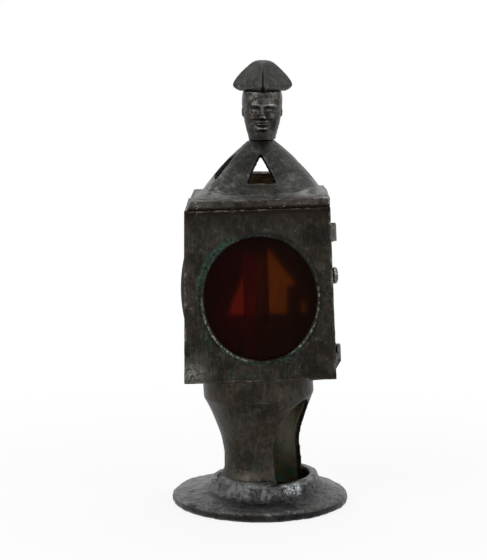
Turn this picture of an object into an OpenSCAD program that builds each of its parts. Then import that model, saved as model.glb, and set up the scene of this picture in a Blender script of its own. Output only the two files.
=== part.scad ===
// Hand-made bronze table lantern: round foot with a well, flared tubular stem with two
// arches, leaning square box with coloured glass, tent roof and a hatted head as finial.
// Millimetres, +Z up, origin at the centre of the foot on the table.

/* [Foot] */
// Radius of the foot disc
foot_r = 80; // [76:0.5:90]
// Height of the foot's edge
foot_edge_h = 9; // [7:0.5:10]
// Height of the ring round the well, at its centre
ring_top_z = 24.6; // [22:0.2:28]
// Radius of the well
well_r = 42.3; // [41:0.1:45]
// Width of the ring's flat top
ring_w = 6.2; // [5:0.1:8]
// Depth of the well
well_depth = 17.6; // [14:0.2:18]

/* [Stem] */
// How far the stem leans to the left, in degrees
stem_lean = 3.4; // [0:0.1:4]
// Place of the stem's axis at the ring, right of the foot's centre
stem_x = 3.2; // [0:0.1:5]
// Radius at the waist
waist_r = 36; // [33:0.1:38]
// Radius at the top
stem_top_r = 50; // [46:0.1:53]
// Height of the waist above the ring
waist_h = 26; // [20:1:32]
// Height of the flare above the waist
flare_h = 50; // [40:1:52]
// Thickness of the stem's wall
stem_wall = 4.5; // [3.5:0.1:5.5]
// Width of each arched opening
arch_w = 49; // [40:0.5:52]
// Height of the arch's springing above the ring
arch_spring_h = 38; // [34:0.5:42]
// Rise of the arch above its springing
arch_rise = 34; // [30:0.5:38]
// Direction of the right arch, in degrees right of the front
arch_turn = 60; // [50:1:70]

/* [Box] */
// Height of the box's underside at its centre
box_z = 121.65; // [114:0.05:126]
// Place of the box's centre, right of the foot's centre
box_x = -0.4; // [-4:0.1:4]
// How far the box's right side stands up, in degrees
box_lean = 1.9; // [0:0.1:2.5]
// Width at the underside
box_w = 134; // [128:0.5:140]
// Depth
box_d = 116; // [108:0.5:118]
// Height of the walls
box_h = 152.6; // [148:0.2:160]
// Thickness of the cast walls
wall = 4; // [3:0.1:4.5]
// How far the left wall leans in, in degrees
left_in = 2.2; // [0:0.1:3]
// How far the right wall leans in, in degrees
right_in = 0.6; // [0:0.1:3]
// Thickness of the box's floor
floor_t = 4; // [3:0.1:5]

/* [Front window] */
// Width of the wall beside the oval
window_side = 17.5; // [17:0.5:24]
// Height of the wall below the oval
window_low = 19; // [17:0.2:24]
// Height of the wall above the oval
window_top = 24.6; // [22:0.2:32]
// Place of the oval's centre, right of the box's centre
window_x = 2.4; // [-2:0.1:3]
// Width of the raised lip round the oval
lip_w = 2.4; // [1.5:0.1:3]
// How far the lip stands out
lip_h = 1.2; // [0.6:0.1:1.6]
// Thickness of the coloured panes
pane_t = 3; // [2:0.1:4]
// Overlap of the panes behind the wall
pane_lap = 5; // [3:0.5:5.5]
// Place of the seam between the panes, right of the box's centre
seam_x = -1.2; // [-6:0.1:6]
// Width of the violet strip behind the seam
strip_w = 22; // [14:0.5:26]
// Thickness of the strip
strip_t = 2.4; // [1.5:0.1:3]

/* [Rear opening] */
// Height of its sill in the box
rear_sill_z = 42; // [30:1:44]
// Height of its peak
rear_peak_z = 104.5; // [100:0.5:110]
// Place of its peak, right of the box's centre
rear_peak_x = 10.5; // [4:0.5:12]
// Half width of its eaves, right of the peak
rear_eave = 26; // [22:0.5:28]
// Height of the eaves
rear_eave_z = 69; // [64:0.5:74]
// Place of the right jamb, right of the peak
rear_jamb = 17.2; // [14:0.2:20]
// Reach of the curved left side, left of the peak
rear_reach = 38.7; // [34:0.1:42]

/* [Left lens] */
// Radius of the left lens's hole
left_hole_r = 35; // [30:0.5:36]
// Height of the lens's centre in the box
left_lens_z = 78; // [72:0.5:90]
// How far the lens bulges past the wall
left_bulge = 4.8; // [2:0.1:6]

/* [Door] */
// Width of the frame in front of the doorway
door_front_in = 12; // [12:0.5:15]
// Width of the frame behind the doorway
door_rear_in = 14; // [12:0.5:18]
// Lower edge of the doorway in the box
door_low_z = 12; // [10:0.5:14]
// Height of the frame above the doorway
door_top_in = 12.6; // [12:0.2:15]
// Thickness of the door
door_t = 3.7; // [3:0.1:3.8]
// Gap round the door
door_gap = 0.4; // [0.3:0.05:0.8]
// Radius of the door lens's hole
door_hole_r = 28; // [24:0.5:28]
// Height of the door lens's centre
door_lens_z = 80; // [76:0.5:84]
// Place of the door lens's centre behind the middle
door_lens_y = -4; // [-6:0.5:-4]
// How far the door lens bulges past the door
door_bulge = 1.2; // [0.5:0.1:1.6]

/* [Hinges and latch] */
// Radius of the hinge knuckles
knuckle_r = 2.4; // [2.2:0.1:2.8]
// Radius of the hinge pins
pin_r = 1.1; // [0.9:0.05:1.2]
// Thickness of the hinge leaves
leaf_t = 1.6; // [1.2:0.1:1.8]
// Lower end of the upper hinge, below the doorway's upper edge
upper_hinge_drop = 19; // [17:0.5:26]
// Length of one knuckle
knuckle_h = 4.8; // [4:0.1:5]
// Top of the lower hinge's bracket
lower_hinge_z = 22.2; // [22:0.2:26]
// Radius of the rivets' shanks
rivet_r = 1; // [0.8:0.05:1.1]
// Radius of the latch knob
knob_r = 7.8; // [6:0.1:8]
// How far the knob stands out from the door
knob_out = 8.9; // [8:0.1:10]
// Height of the latch in the box
latch_z = 79; // [70:0.2:84]
// Distance of the latch from the door's free edge
latch_in = 9; // [8.5:0.1:10]
// Length of the tongue from the spindle
tongue_l = 15; // [14:0.2:16]

/* [Roof] */
// Thickness of the roof plate
plate_t = 8; // [6:0.1:10]
// Width of the plate's top
plate_top_w = 120.4; // [116:0.4:126]
// Depth of the plate's top
plate_top_d = 116.4; // [110:0.4:118]
// Overhang of the plate past the front wall
plate_over = 2; // [1:0.1:3]
// Place of the plate's top centre, right of the box's centre
plate_x = 5; // [2:0.2:6]
// Half width of the hood's foot
hood_a = 54.5; // [50:0.5:55]
// Half depth of the hood's foot
hood_b = 49.5; // [46:0.5:52]
// Radius of the hood's crown
crown_r = 12.2; // [11:0.1:14]
// Height of the hood above the plate
hood_h = 47.4; // [44:0.2:52]
// Thickness of the hood's wall
hood_wall = 5.2; // [4:0.1:6]
// Place of the hood's axis, right of the box's centre
hood_x = 7.7; // [4:0.1:8]
// How far the hood's sides bow out, as a share of a straight slope
hood_bow = 0.32; // [0.1:0.02:0.5]
// How far the hood's foot lies left of its crown
hood_sway = 1.6; // [0:0.2:2.4]
// Width of the three-cornered vents
vent_w = 26.8; // [20:0.2:28]
// Width of the left vent
left_vent_w = 30; // [24:0.5:32]
// Height of the vents' sill above the plate
vent_sill = 12.4; // [10:0.2:14]
// How much higher the sills of the rear and the left vent are
high_sill = 4; // [0:0.2:6]
// Height of the vents' peak above the plate
vent_peak = 38.4; // [34:0.2:39]
// How far the left vent lies in front of the middle
left_vent_fore = 9; // [0:0.5:10]
// How much narrower each vent is inside, on each side
vent_reveal = 2.4; // [0:0.1:3]

/* [Finial] */
// Height of the head from the crown to the hat
head_h = 43.8; // [42:0.1:50]
// Largest radius of the head
head_r = 18; // [16:0.1:20]
// Height of the hat
hat_h = 27.2; // [22:0.1:30]
// Radius of the hat's brim
hat_r = 26.4; // [24:0.1:30]

/* [Candle] */
// Radius of the candle
candle_r = 19; // [15:0.5:20]
// Height of the candle
candle_h = 34; // [25:0.5:34]
// Wall of the candle cup
cup_wall = 1.8; // [1.2:0.1:2.4]
// Height of the cup above its pan
cup_h = 12; // [8:0.5:16]

/* [Fits] */
// Clearance between loose pieces
fit = 0.3; // [0.2:0.05:0.5]
// Radial clearance of a turning pin
pin_fit = 0.05; // [0.02:0.01:0.1]

/* [Hidden] */

$fn = 72;
far = 400;              // longer than the lantern, for cutting
box_bronze = [0.17, 0.14, 0.12];
stem_bronze = [0.21, 0.17, 0.14];
roof_bronze = [0.20, 0.21, 0.20];
raw_bronze = [0.36, 0.31, 0.20];

// foot
ring_r = well_r + ring_w;
edge_round = 2.4;
foot_rise = 4;          // rise of the disc's top towards the ring
slope_w = 15;           // width of the slope that carries the ring
rim_w = 8;              // width of the rim that touches the table
recess_h = 3.5;         // hollow under the disc
boss_r = ring_r + 1.5;  // flat underside below the well

// stem
flare_power = 1.7;
leg_out = 1.2;          // how much wider the legs are at the well's floor
root_h = 16;            // height of the fillet that joins the front leg to the ring
arch_r = arch_w / 2;
arch_half = asin(arch_r / waist_r);
arch_steps = 28;

// box
in_front = -box_d / 2 + wall;
in_rear = box_d / 2 - wall;
window_a = box_w / 2 - window_side;
window_b = (box_h - window_low - window_top) / 2;
window_z = window_low + window_b;
lip_steps = 72;

// panes
pane_left = window_x - window_a - pane_lap;
pane_right = window_x + window_a + pane_lap;
pane_low = window_z - window_b - pane_lap;
pane_high = window_z + window_b + pane_lap;
pane_cut = 16;          // cut-off corners of the panes
seam_gap = 0.4;
clip_w = 7;
clip_t = 1.3;
clip_foot = 2.2;        // how far a clip's foot stands outside the glass
clip_lap = 2.6;         // how far its finger reaches over the glass

// lenses
lens_t = 2.5;           // thickness of a lens's flange
lens_lap = 3;

// door and hinges
door_front_y = -box_d / 2 + door_front_in;
door_rear_y = box_d / 2 - door_rear_in;
door_high_z = box_h - door_top_in;
upper_hinge_z = door_high_z - upper_hinge_drop;
stop_t = 2.6;           // thickness of the stops behind the door
stop_lap = 3;
stop_in = 14;           // how far the stops end before the doorway's corners
door_x = knuckle_r + 0.2;   // hinge axis outside the wall's face
leaf_clear = knuckle_r + 0.5;
leaf_l = 4.2;           // length of the leaves past the knuckles
upper_top_z = upper_hinge_z + 3 * knuckle_h + 2 * fit;
eye_h = 6;
strap_l = 12;
bracket_h = 8;
gusset_h = 7;
head_cap = 0.9;
head_cap_r = 1.9;
pin_cap = 0.8;

// latch
latch_y = door_rear_y - latch_in;
spindle_r = 2.5;
tongue_w = 8;
tongue_t = 2.6;
nut_r = 4.6;
nut_t = 2.4;

// roof
plate_z = box_h;
hood_z = plate_z + plate_t;
hood_rings = 12;
hood_sides = 56;
smoke_r = 38;
top_t = 0.1;            // share of the hood's height that the solid crown takes

// candle cup
cup_z = floor_t;
pan_r = 31;
pan_t = 2;
pan_lip = 4.5;
stud_r = 3;
air_r = 4;
air_ring_r = 37.5;
air_count = 8;
wick_r = 0.8;
wick_h = 8;

// --- frames ---------------------------------------------------------------------

module on_stem() {
    translate([stem_x, 0, ring_top_z])
        rotate([0, -stem_lean, 0])
            children();
}

module on_box() {
    translate([box_x, 0, box_z])
        rotate([0, -box_lean, 0])
            children();
}

// left wall: x = 0 is its outer face, +x points into the box
module on_left() {
    on_box()
        translate([-box_w / 2, 0, 0])
            rotate([0, left_in, 0])
                children();
}

// right wall: x = 0 is its outer face, +x points out of the box
module on_right() {
    on_box()
        translate([box_w / 2, 0, 0])
            rotate([0, -right_in, 0])
                children();
}

// everything between the box's underside and the roof plate
module wall_zone() {
    on_box()
        translate([-far / 2, -far / 2, 0])
            cube([far, far, box_h]);
}

// an outline in x and z, as thick as t, with its outer face at y
module upright(y, t) {
    translate([0, y + t, 0])
        rotate([90, 0, 0])
            linear_extrude(t)
                children();
}

// --- foot and stem --------------------------------------------------------------

module foot_disc() {
    difference() {
        rotate_extrude($fn = 120)
            polygon([
                [0, 0], [foot_r - edge_round, 0], [foot_r, edge_round],
                [foot_r, foot_edge_h - edge_round], [foot_r - edge_round, foot_edge_h],
                [foot_r - rim_w, foot_edge_h + 0.3 * foot_rise],
                [ring_r + 10, foot_edge_h + 0.7 * foot_rise],
                [ring_r, foot_edge_h + foot_rise], [0, foot_edge_h + foot_rise]
            ]);
        translate([0, 0, -1])
            difference() {
                cylinder(r = foot_r - rim_w, h = recess_h + 1);
                translate([0, 0, -1])
                    cylinder(r = boss_r, h = recess_h + 3);
            }
    }
}

// the ring and the concave slope that carries it, lowest point under the disc's top
module ring_slope() {
    drop = ring_top_z - foot_edge_h;
    rotate_extrude($fn = 120)
        polygon([
            [0, 0], [ring_r - 1.4, 0], [ring_r - 0.3, -0.5], [ring_r + 0.3, -2],
            [ring_r + 0.08 * slope_w, -0.36 * drop], [ring_r + 0.23 * slope_w, -0.6 * drop],
            [ring_r + 0.5 * slope_w, -0.8 * drop], [ring_r + slope_w, -0.97 * drop],
            [ring_r + 1.67 * slope_w, -1.24 * drop], [0, -1.24 * drop]
        ]);
}

module foot() {
    color([0.19, 0.19, 0.18])
        difference() {
            union() {
                foot_disc();
                on_stem()
                    ring_slope();
            }
            on_stem()
                translate([0, 0, -well_depth])
                    cylinder(r = well_r, h = far);
        }
}

// outer radius of the stem at height h above the ring
function flare_t(h) = max(0, min(1, (h - waist_h) / flare_h));
function stem_r(h) = waist_r
    + (stem_top_r - waist_r) * pow(flare_t(h), flare_power)
    + leg_out * max(0, (waist_h - h) / (waist_h + well_depth));
stem_top_h = box_z - ring_top_z + 6;
stem_steps = [
    -well_depth, 0, waist_h,
    for (i = [1:12]) waist_h + flare_h * i / 12,
    stem_top_h
];

module stem_tube() {
    rotate_extrude($fn = 96)
        polygon(concat(
            [for (h = stem_steps) [stem_r(h), h]],
            [for (i = [len(stem_steps) - 1:-1:0])
                [stem_r(stem_steps[i]) - stem_wall, stem_steps[i]]]
        ));
}

module arch_cut() {
    rotate([0, 0, arch_turn])
        rotate([90, 0, 0])
            linear_extrude(far, center = true)
                polygon(concat(
                    [for (i = [0:arch_steps])
                        [arch_r * cos(180 * i / arch_steps),
                         arch_spring_h + arch_rise * sin(180 * i / arch_steps)]],
                    [[-arch_r, -well_depth - 1], [arch_r, -well_depth - 1]]
                ));
}

// fillet from the front leg out to the ring's top
module leg_root() {
    steps = 6;
    turn = 60;          // part of a quarter round, so that the root ends steeply
    gap = (ring_r - 0.6 - waist_r) / (1 - cos(turn));
    rise = root_h / sin(turn);
    margin = 2;
    rotate([0, 0, arch_turn + arch_half + margin - 270])
        rotate_extrude(angle = 180 - 2 * (arch_half + margin))
            polygon(concat(
                [for (i = [0:steps])
                    [waist_r + gap * (1 - cos(turn * i / steps)),
                     root_h - rise * sin(turn * i / steps) + 0.05]],
                [[well_r - 0.05, 0.05], [well_r - 0.05, -well_depth],
                 [waist_r - 1, -well_depth], [waist_r - 1, root_h]]
            ));
}

module stem() {
    color(stem_bronze)
        difference() {
            on_stem() {
                difference() {
                    stem_tube();
                    arch_cut();
                }
                leg_root();
            }
            on_box()
                translate([-far / 2, -far / 2, 0])
                    cube([far, far, far]);
        }
}

// --- box ------------------------------------------------------------------------

module box_floor() {
    side = box_w / 2 - wall - 0.2;
    color(raw_bronze)
        on_box()
            difference() {
                translate([-side, in_front, 0])
                    cube([2 * side, in_rear - in_front, floor_t]);
                translate([0, 0, -1])
                    cylinder(r = stud_r + pin_fit, h = floor_t + 2);
                for (i = [0:air_count - 1])
                    rotate([0, 0, 360 * (i + 0.5) / air_count])
                        translate([air_ring_r, 0, -1])
                            cylinder(r = air_r, h = floor_t + 2);
            }
}

// outline of the front and rear walls
module wall_outline() {
    polygon([
        [-box_w / 2, 0], [box_w / 2, 0],
        [box_w / 2 - box_h * tan(right_in), box_h],
        [-box_w / 2 + box_h * tan(left_in), box_h]
    ]);
}

module oval(grow) {
    polygon([for (i = [0:lip_steps - 1])
        [window_x + (window_a + grow) * cos(360 * i / lip_steps),
         window_z + (window_b + grow) * sin(360 * i / lip_steps)]]);
}

module front_wall() {
    color(box_bronze)
        on_box() {
            upright(-box_d / 2, wall)
                difference() {
                    wall_outline();
                    oval(0);
                }
            upright(-box_d / 2 - lip_h, lip_h)
                difference() {
                    oval(lip_w);
                    oval(0);
                }
        }
}

// gable with one bowed side and one eave
module rear_opening() {
    steps = 6;
    rise = rear_peak_z - rear_sill_z;
    translate([rear_peak_x, 0])
        polygon(concat(
            [for (i = [0:steps])
                [-rear_reach * pow(i / steps, 0.75),
                 rear_peak_z - rise * pow(i / steps, 1.15)]],
            [[rear_jamb, rear_sill_z], [rear_jamb, rear_eave_z - 2],
             [rear_eave, rear_eave_z]]
        ));
    translate([rear_peak_x + rear_eave + 4, rear_sill_z])
        polygon([[0, 0], [4, 0], [4, 12.5], [1.5, 10]]);
}

module rear_wall() {
    color(box_bronze)
        on_box()
            upright(in_rear, wall)
                difference() {
                    wall_outline();
                    rear_opening();
                }
}

module left_wall() {
    color(box_bronze)
        intersection() {
            wall_zone();
            on_left()
                difference() {
                    translate([0, in_front, -5])
                        cube([wall, in_rear - in_front, box_h + 10]);
                    translate([-1, 0, left_lens_z])
                        rotate([0, 90, 0])
                            cylinder(r = left_hole_r, h = wall + 2);
                }
        }
}

module right_frame() {
    stop_y = door_front_y + stop_in;
    stop_len = door_rear_y - door_front_y - 2 * stop_in;
    color(box_bronze)
        intersection() {
            wall_zone();
            on_right() {
                difference() {
                    translate([-wall, in_front, -5])
                        cube([wall, in_rear - in_front, box_h + 10]);
                    translate([-wall - 1, door_front_y, door_low_z])
                        cube([wall + 2, door_rear_y - door_front_y, door_high_z - door_low_z]);
                    frame_rivet_places()
                        rivet_hole();
                }
                for (z = [door_low_z - stop_lap, door_high_z - stop_lap])
                    translate([-wall - stop_t, stop_y, z])
                        cube([stop_t, stop_len, 2 * stop_lap]);
            }
        }
}

// --- roof -----------------------------------------------------------------------

module roof_plate() {
    low_left = -box_w / 2 + box_h * tan(left_in) + 2.3;
    low_right = box_w / 2 - box_h * tan(right_in) - 0.2;
    color(roof_bronze)
        on_box()
            translate([0, 0, plate_z])
                difference() {
                    intersection() {
                        upright(-far / 2, far)
                            polygon([
                                [low_left, 0], [low_right, 0],
                                [plate_x + plate_top_w / 2, plate_t],
                                [plate_x - plate_top_w / 2, plate_t]
                            ]);
                        rotate([90, 0, 90])
                            linear_extrude(far, center = true)
                                polygon([
                                    [-box_d / 2 - plate_over, 0], [box_d / 2 + plate_over, 0],
                                    [plate_top_d / 2, plate_t], [-plate_top_d / 2, plate_t]
                                ]);
                    }
                    translate([hood_x, 0, -1])
                        cylinder(r = smoke_r, h = plate_t + 2);
                }
}

// one ring of the hood: round at the crown, nearly square at the plate
function squareness(t) = 2 + 3 * pow(t, 3);
function bulge(t) = t + hood_bow * t * (1 - t);
function round_pow(v, n) = sign(v) * pow(abs(v), 2 / n);
function hood_ring(t, inset) = [
    for (k = [0:hood_sides - 1])
        let (turn = 360 * k / hood_sides,
             a = crown_r + (hood_a - crown_r) * bulge(t) - inset,
             b = crown_r + (hood_b - crown_r) * bulge(t) - inset,
             n = squareness(t))
        [a * round_pow(cos(turn), n) - hood_sway * t, b * round_pow(sin(turn), n),
         hood_h * (1 - t)]
];

// closed loft through rings that all have hood_sides points, from the top down
module loft(rings) {
    n = hood_sides;
    m = len(rings);
    polyhedron(
        points = [for (ring = rings) each ring],
        faces = concat(
            [[for (k = [n - 1:-1:0]) k]],
            [[for (k = [0:n - 1]) (m - 1) * n + k]],
            [for (r = [0:m - 2], k = [0:n - 1])
                [r * n + k, r * n + (k + 1) % n, (r + 1) * n + k]],
            [for (r = [0:m - 2], k = [0:n - 1])
                [r * n + (k + 1) % n, (r + 1) * n + (k + 1) % n, (r + 1) * n + k]]
        )
    );
}

// distance of the hood's face from its axis at height h, where its foot is half wide
function hood_face(h, half) = crown_r + (half - crown_r) * bulge(1 - h / hood_h);

// cut for the front vent, square to the sloping wall and narrower inside
module vent_cut(half, width, sill) {
    low = hood_face(sill, half);
    slope = [0, low - hood_face(vent_peak, half), vent_peak - sill];
    along = slope / norm(slope);
    inward = [0, along[2], -along[1]] * hood_wall;
    outer = [[-width / 2, -low, sill], [width / 2, -low, sill],
             [0, slope[1] - low, vent_peak]];
    inset = [
        [vent_reveal, 0, 0] + 0.3 * vent_reveal * along,
        [-vent_reveal, 0, 0] + 0.3 * vent_reveal * along,
        -1.5 * vent_reveal * along
    ];
    past = 0.8;         // how far the cut runs past both faces, as a share of the wall
    hull()
        polyhedron(
            points = concat(
                [for (i = [0:2]) outer[i] - past * (inward + inset[i])],
                [for (i = [0:2]) outer[i] + (1 + past) * (inward + inset[i])]
            ),
            faces = [[0, 2, 1], [3, 4, 5], [0, 1, 4, 3], [1, 2, 5, 4], [2, 0, 3, 5]]
        );
}

module roof_hood() {
    vent_sway = hood_sway * (1 - vent_sill / hood_h);
    below = [for (p = hood_ring(1, hood_wall)) [p[0], p[1], -1]];
    color(roof_bronze)
        on_box()
            translate([hood_x, 0, hood_z])
                difference() {
                    loft([for (i = [0:hood_rings]) hood_ring(i / hood_rings, 0)]);
                    loft(concat(
                        [for (i = [0:hood_rings])
                            hood_ring(top_t + (1 - top_t) * i / hood_rings, hood_wall)],
                        [below]
                    ));
                    translate([-vent_sway, 0, 0]) {
                        vent_cut(hood_b, vent_w, vent_sill);
                        rotate([0, 0, 180])
                            vent_cut(hood_b, vent_w, vent_sill + high_sill);
                    }
                    rotate([0, 0, 90])
                        vent_cut(hood_a, vent_w, vent_sill);
                    translate([0, -left_vent_fore, 0])
                        rotate([0, 0, 270])
                            vent_cut(hood_a, left_vent_w, vent_sill + high_sill);
                }
}

// --- finial ---------------------------------------------------------------------

crown = [
    box_x + hood_x * cos(box_lean) - (hood_z + hood_h) * sin(box_lean),
    0,
    box_z + hood_x * sin(box_lean) + (hood_z + hood_h) * cos(box_lean)
];
head_x = crown[0] + 1;
hat_z = crown[2] + head_h;

// side outline of the head, as shares of its height and radius
head_line = [
    [0, 0.66], [0.1, 0.7], [0.2, 0.77], [0.3, 0.83], [0.4, 0.9], [0.55, 0.96],
    [0.7, 1], [0.82, 1], [0.92, 0.985], [1, 0.95]
];

module head() {
    low = 0.16 * head_r;
    color([0.17, 0.16, 0.15])
        difference() {
            translate([head_x, 0, crown[2]]) {
                rotate_extrude()
                    polygon(concat(
                        [[0, -low], [crown_r - 0.3, -low]],
                        [for (p = head_line) [head_r * p[1], head_h * p[0]]],
                        [[0, head_h]]
                    ));
                nose();
                for (side = [-1, 1]) {
                    translate([side * 0.36 * head_r, -0.83 * head_r, 0.62 * head_h])
                        sphere(r = 0.16 * head_r, $fn = 32);
                    translate([side * 0.98 * head_r, 0, 0.56 * head_h])
                        rotate([0, 90, 0])
                            cylinder(r = 0.175 * head_r, h = 0.09 * head_r, center = true, $fn = 32);
                }
            }
            on_box()
                translate([-far / 2, -far / 2, hood_z + hood_h - far])
                    cube([far, far, far]);
        }
}

// wedge nose: side outline crossed with front outline
module nose() {
    intersection() {
        rotate([90, 0, 90])
            linear_extrude(0.7 * head_r, center = true)
                polygon([
                    [-0.9 * head_r, 0.7 * head_h], [-1.12 * head_r, 0.47 * head_h],
                    [-0.9 * head_r, 0.41 * head_h], [-0.6 * head_r, 0.5 * head_h]
                ]);
        upright(-2 * head_r, 2 * head_r)
            polygon([
                [-0.08 * head_r, 0.72 * head_h], [0.08 * head_r, 0.72 * head_h],
                [0.19 * head_r, 0.4 * head_h], [-0.19 * head_r, 0.4 * head_h]
            ]);
    }
}

// outline of the hat's slope, as shares of its height and radius
hat_line = [
    [0, 0.77], [0.07, 0.9], [0.14, 0.98], [0.2, 1], [0.27, 0.98], [0.36, 0.93],
    [0.46, 0.855], [0.56, 0.77], [0.65, 0.68], [0.75, 0.575], [0.85, 0.46], [0.92, 0.37],
    [0.97, 0.27], [1, 0.14]
];

// four crossed vaults: broad flats to the corners, narrow ones to the front and sides
module hat() {
    flat = 0.75;        // broad flats' distance as a share of the brim's radius
    color([0.21, 0.22, 0.21])
        translate([head_x + 0.3, 0, hat_z])
            intersection() {
                hat_vault(45, flat);
                hat_vault(-45, flat);
                hat_vault(0, 1);
                hat_vault(90, 1);
            }
}

module hat_vault(turn, share) {
    rotate([0, 0, turn])
        upright(-hat_r - 1, 2 * hat_r + 2)
            polygon(concat(
                [for (p = hat_line) [hat_r * share * p[1], hat_h * p[0]]],
                [for (i = [len(hat_line) - 1:-1:0])
                    [-hat_r * share * hat_line[i][1], hat_h * hat_line[i][0]]]
            ));
}

// --- front glass ----------------------------------------------------------------

module pane(left, right, cut_left, cut_right) {
    upright(in_front, pane_t)
        polygon([
            [left + cut_left, pane_low], [right - cut_right, pane_low],
            [right, pane_low + cut_right], [right, pane_high - cut_right],
            [right - cut_right, pane_high], [left + cut_left, pane_high],
            [left, pane_high - cut_left], [left, pane_low + cut_left]
        ]);
}

module red_pane() {
    color([0.35, 0.03, 0.03])
        on_box()
            pane(pane_left, seam_x - seam_gap / 2, pane_cut, 0);
}

module amber_pane() {
    color([0.45, 0.2, 0.03])
        on_box()
            pane(seam_x + seam_gap / 2, pane_right, 0, pane_cut);
}

module seam_strip() {
    color([0.2, 0.08, 0.25])
        on_box()
            translate([seam_x - strip_w / 2, in_front + pane_t, pane_low])
                cube([strip_w, strip_t, pane_high - pane_low]);
}

// a bent tab: its foot stands on the wall past the glass, its finger laps over it
module clip(glass_t) {
    translate([0, 0, -clip_w / 2])
        linear_extrude(clip_w)
            polygon([
                [0.1, 0], [clip_foot, 0], [clip_foot, glass_t + clip_t],
                [-clip_lap, glass_t + clip_t], [-clip_lap, glass_t], [0.1, glass_t]
            ]);
}

module pane_clips() {
    reach = 0.6 * window_a;
    side_z = [window_z - 0.55 * window_b, window_z + 0.55 * window_b];
    color(raw_bronze)
        on_box()
            translate([0, in_front, 0]) {
                for (z = side_z) {
                    translate([pane_right, 0, z])
                        clip(pane_t);
                    translate([pane_left, 0, z])
                        mirror([1, 0, 0])
                            clip(pane_t);
                }
                for (x = [seam_x - reach, seam_x, seam_x + reach]) {
                    deep = x == seam_x ? pane_t + strip_t : pane_t;
                    translate([x, 0, pane_high])
                        rotate([0, -90, 0])
                            clip(deep);
                    translate([x, 0, pane_low])
                        rotate([0, 90, 0])
                            clip(deep);
                }
            }
}

// --- lenses ---------------------------------------------------------------------

// bull's-eye: a flange behind the panel and a crown through its hole; +x points out
module lens(hole_r, panel_t, out) {
    edge_r = hole_r - fit;
    ball_r = (edge_r * edge_r + out * out) / (2 * out);
    steps = 8;
    span = asin(edge_r / ball_r);
    rotate([0, 90, 0])
        rotate_extrude()
            polygon(concat(
                [[0, -panel_t - lens_t], [hole_r + lens_lap, -panel_t - lens_t],
                 [hole_r + lens_lap, -panel_t], [edge_r, -panel_t]],
                [for (i = [0:steps])
                    [ball_r * sin(span * (1 - i / steps)),
                     out - ball_r * (1 - cos(span * (1 - i / steps)))]]
            ));
}

module lens_clips(hole_r, panel_t) {
    for (turn = [45:90:315])
        rotate([turn, 0, 0])
            translate([-panel_t, hole_r + lens_lap, 0])
                rotate([0, 0, 90])
                    clip(lens_t);
}

module left_lens() {
    color([0.1, 0.08, 0.07])
        on_left()
            translate([0, 0, left_lens_z])
                mirror([1, 0, 0])
                    lens(left_hole_r, wall, left_bulge);
}

module left_lens_clips() {
    color(raw_bronze)
        on_left()
            translate([0, 0, left_lens_z])
                mirror([1, 0, 0])
                    lens_clips(left_hole_r, wall);
}

module at_door_lens() {
    on_right()
        translate([0, door_lens_y, door_lens_z])
            children();
}

module door_lens() {
    color([0.3, 0.15, 0.05])
        at_door_lens()
            lens(door_hole_r, door_t, door_bulge);
}

module door_lens_clips() {
    color(raw_bronze)
        at_door_lens()
            lens_clips(door_hole_r, door_t);
}

// --- door, hinges and latch -----------------------------------------------------

// z of each hinge leaf's rivets, with their distance from the hinge axis
upper_rivets = [upper_hinge_z + 3, upper_top_z - 3];
leaf_rivet_y = leaf_clear + leaf_l / 2;
bracket_rivet_z = lower_hinge_z - bracket_h / 2;
strap_z = lower_hinge_z + fit + eye_h / 2;
strap_rivets = [leaf_rivet_y, leaf_clear + strap_l - 2.2];

module frame_rivet_places() {
    for (z = concat(upper_rivets, [bracket_rivet_z]))
        translate([0, door_front_y - leaf_rivet_y, z])
            children();
}

module door_rivet_places() {
    for (z = upper_rivets)
        translate([0, door_front_y + leaf_rivet_y, z])
            children();
    for (y = strap_rivets)
        translate([0, door_front_y + y, strap_z])
            children();
}

rivet_depth = 2.6;
module rivet_hole() {
    translate([-rivet_depth - fit, 0, 0])
        rotate([0, 90, 0])
            cylinder(r = rivet_r + 0.03, h = rivet_depth + leaf_t + 1, $fn = 24);
}

module rivet() {
    cap_ball = (head_cap_r * head_cap_r + head_cap * head_cap) / (2 * head_cap);
    rotate([0, 90, 0]) {
        translate([0, 0, -rivet_depth])
            cylinder(r = rivet_r, h = rivet_depth + leaf_t + 0.1, $fn = 24);
        intersection() {
            translate([0, 0, leaf_t + head_cap - cap_ball])
                sphere(r = cap_ball, $fn = 48);
            translate([0, 0, leaf_t])
                cylinder(r = head_cap_r, h = 2 * head_cap, $fn = 24);
        }
    }
}

module knuckle(low, high, bore_fit) {
    translate([door_x, door_front_y, low])
        difference() {
            cylinder(r = knuckle_r, h = high - low, $fn = 32);
            translate([0, 0, -1])
                cylinder(r = pin_r + bore_fit, h = high - low + 2, $fn = 32);
        }
}

// web from a knuckle to its leaf; side is -1 for the frame, 1 for the door
module web(low, high, side) {
    difference() {
        translate([0, side > 0 ? door_front_y : door_front_y - leaf_clear - 0.1, low])
            cube([leaf_t, leaf_clear + 0.1, high - low]);
        translate([door_x, door_front_y, low - 1])
            cylinder(r = knuckle_r - 0.4, h = high - low + 2, $fn = 32);
        translate([-1, side > 0 ? door_front_y - 1 : door_front_y, low - 1])
            cube([leaf_t + 2, 1, high - low + 2]);
    }
}

module leaf(low, high, side, length) {
    translate([0, side > 0 ? door_front_y + leaf_clear : door_front_y - leaf_clear - length, low])
        cube([leaf_t, length, high - low]);
}

module upper_hinge_leaf() {
    color([0.3, 0.26, 0.2])
        on_right()
            difference() {
                union() {
                    leaf(upper_hinge_z, upper_top_z, -1, leaf_l);
                    for (low = [upper_hinge_z, upper_top_z - knuckle_h]) {
                        knuckle(low, low + knuckle_h, 0.02);
                        web(low, low + knuckle_h, -1);
                    }
                }
                frame_rivet_places()
                    rivet_hole();
            }
}

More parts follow.
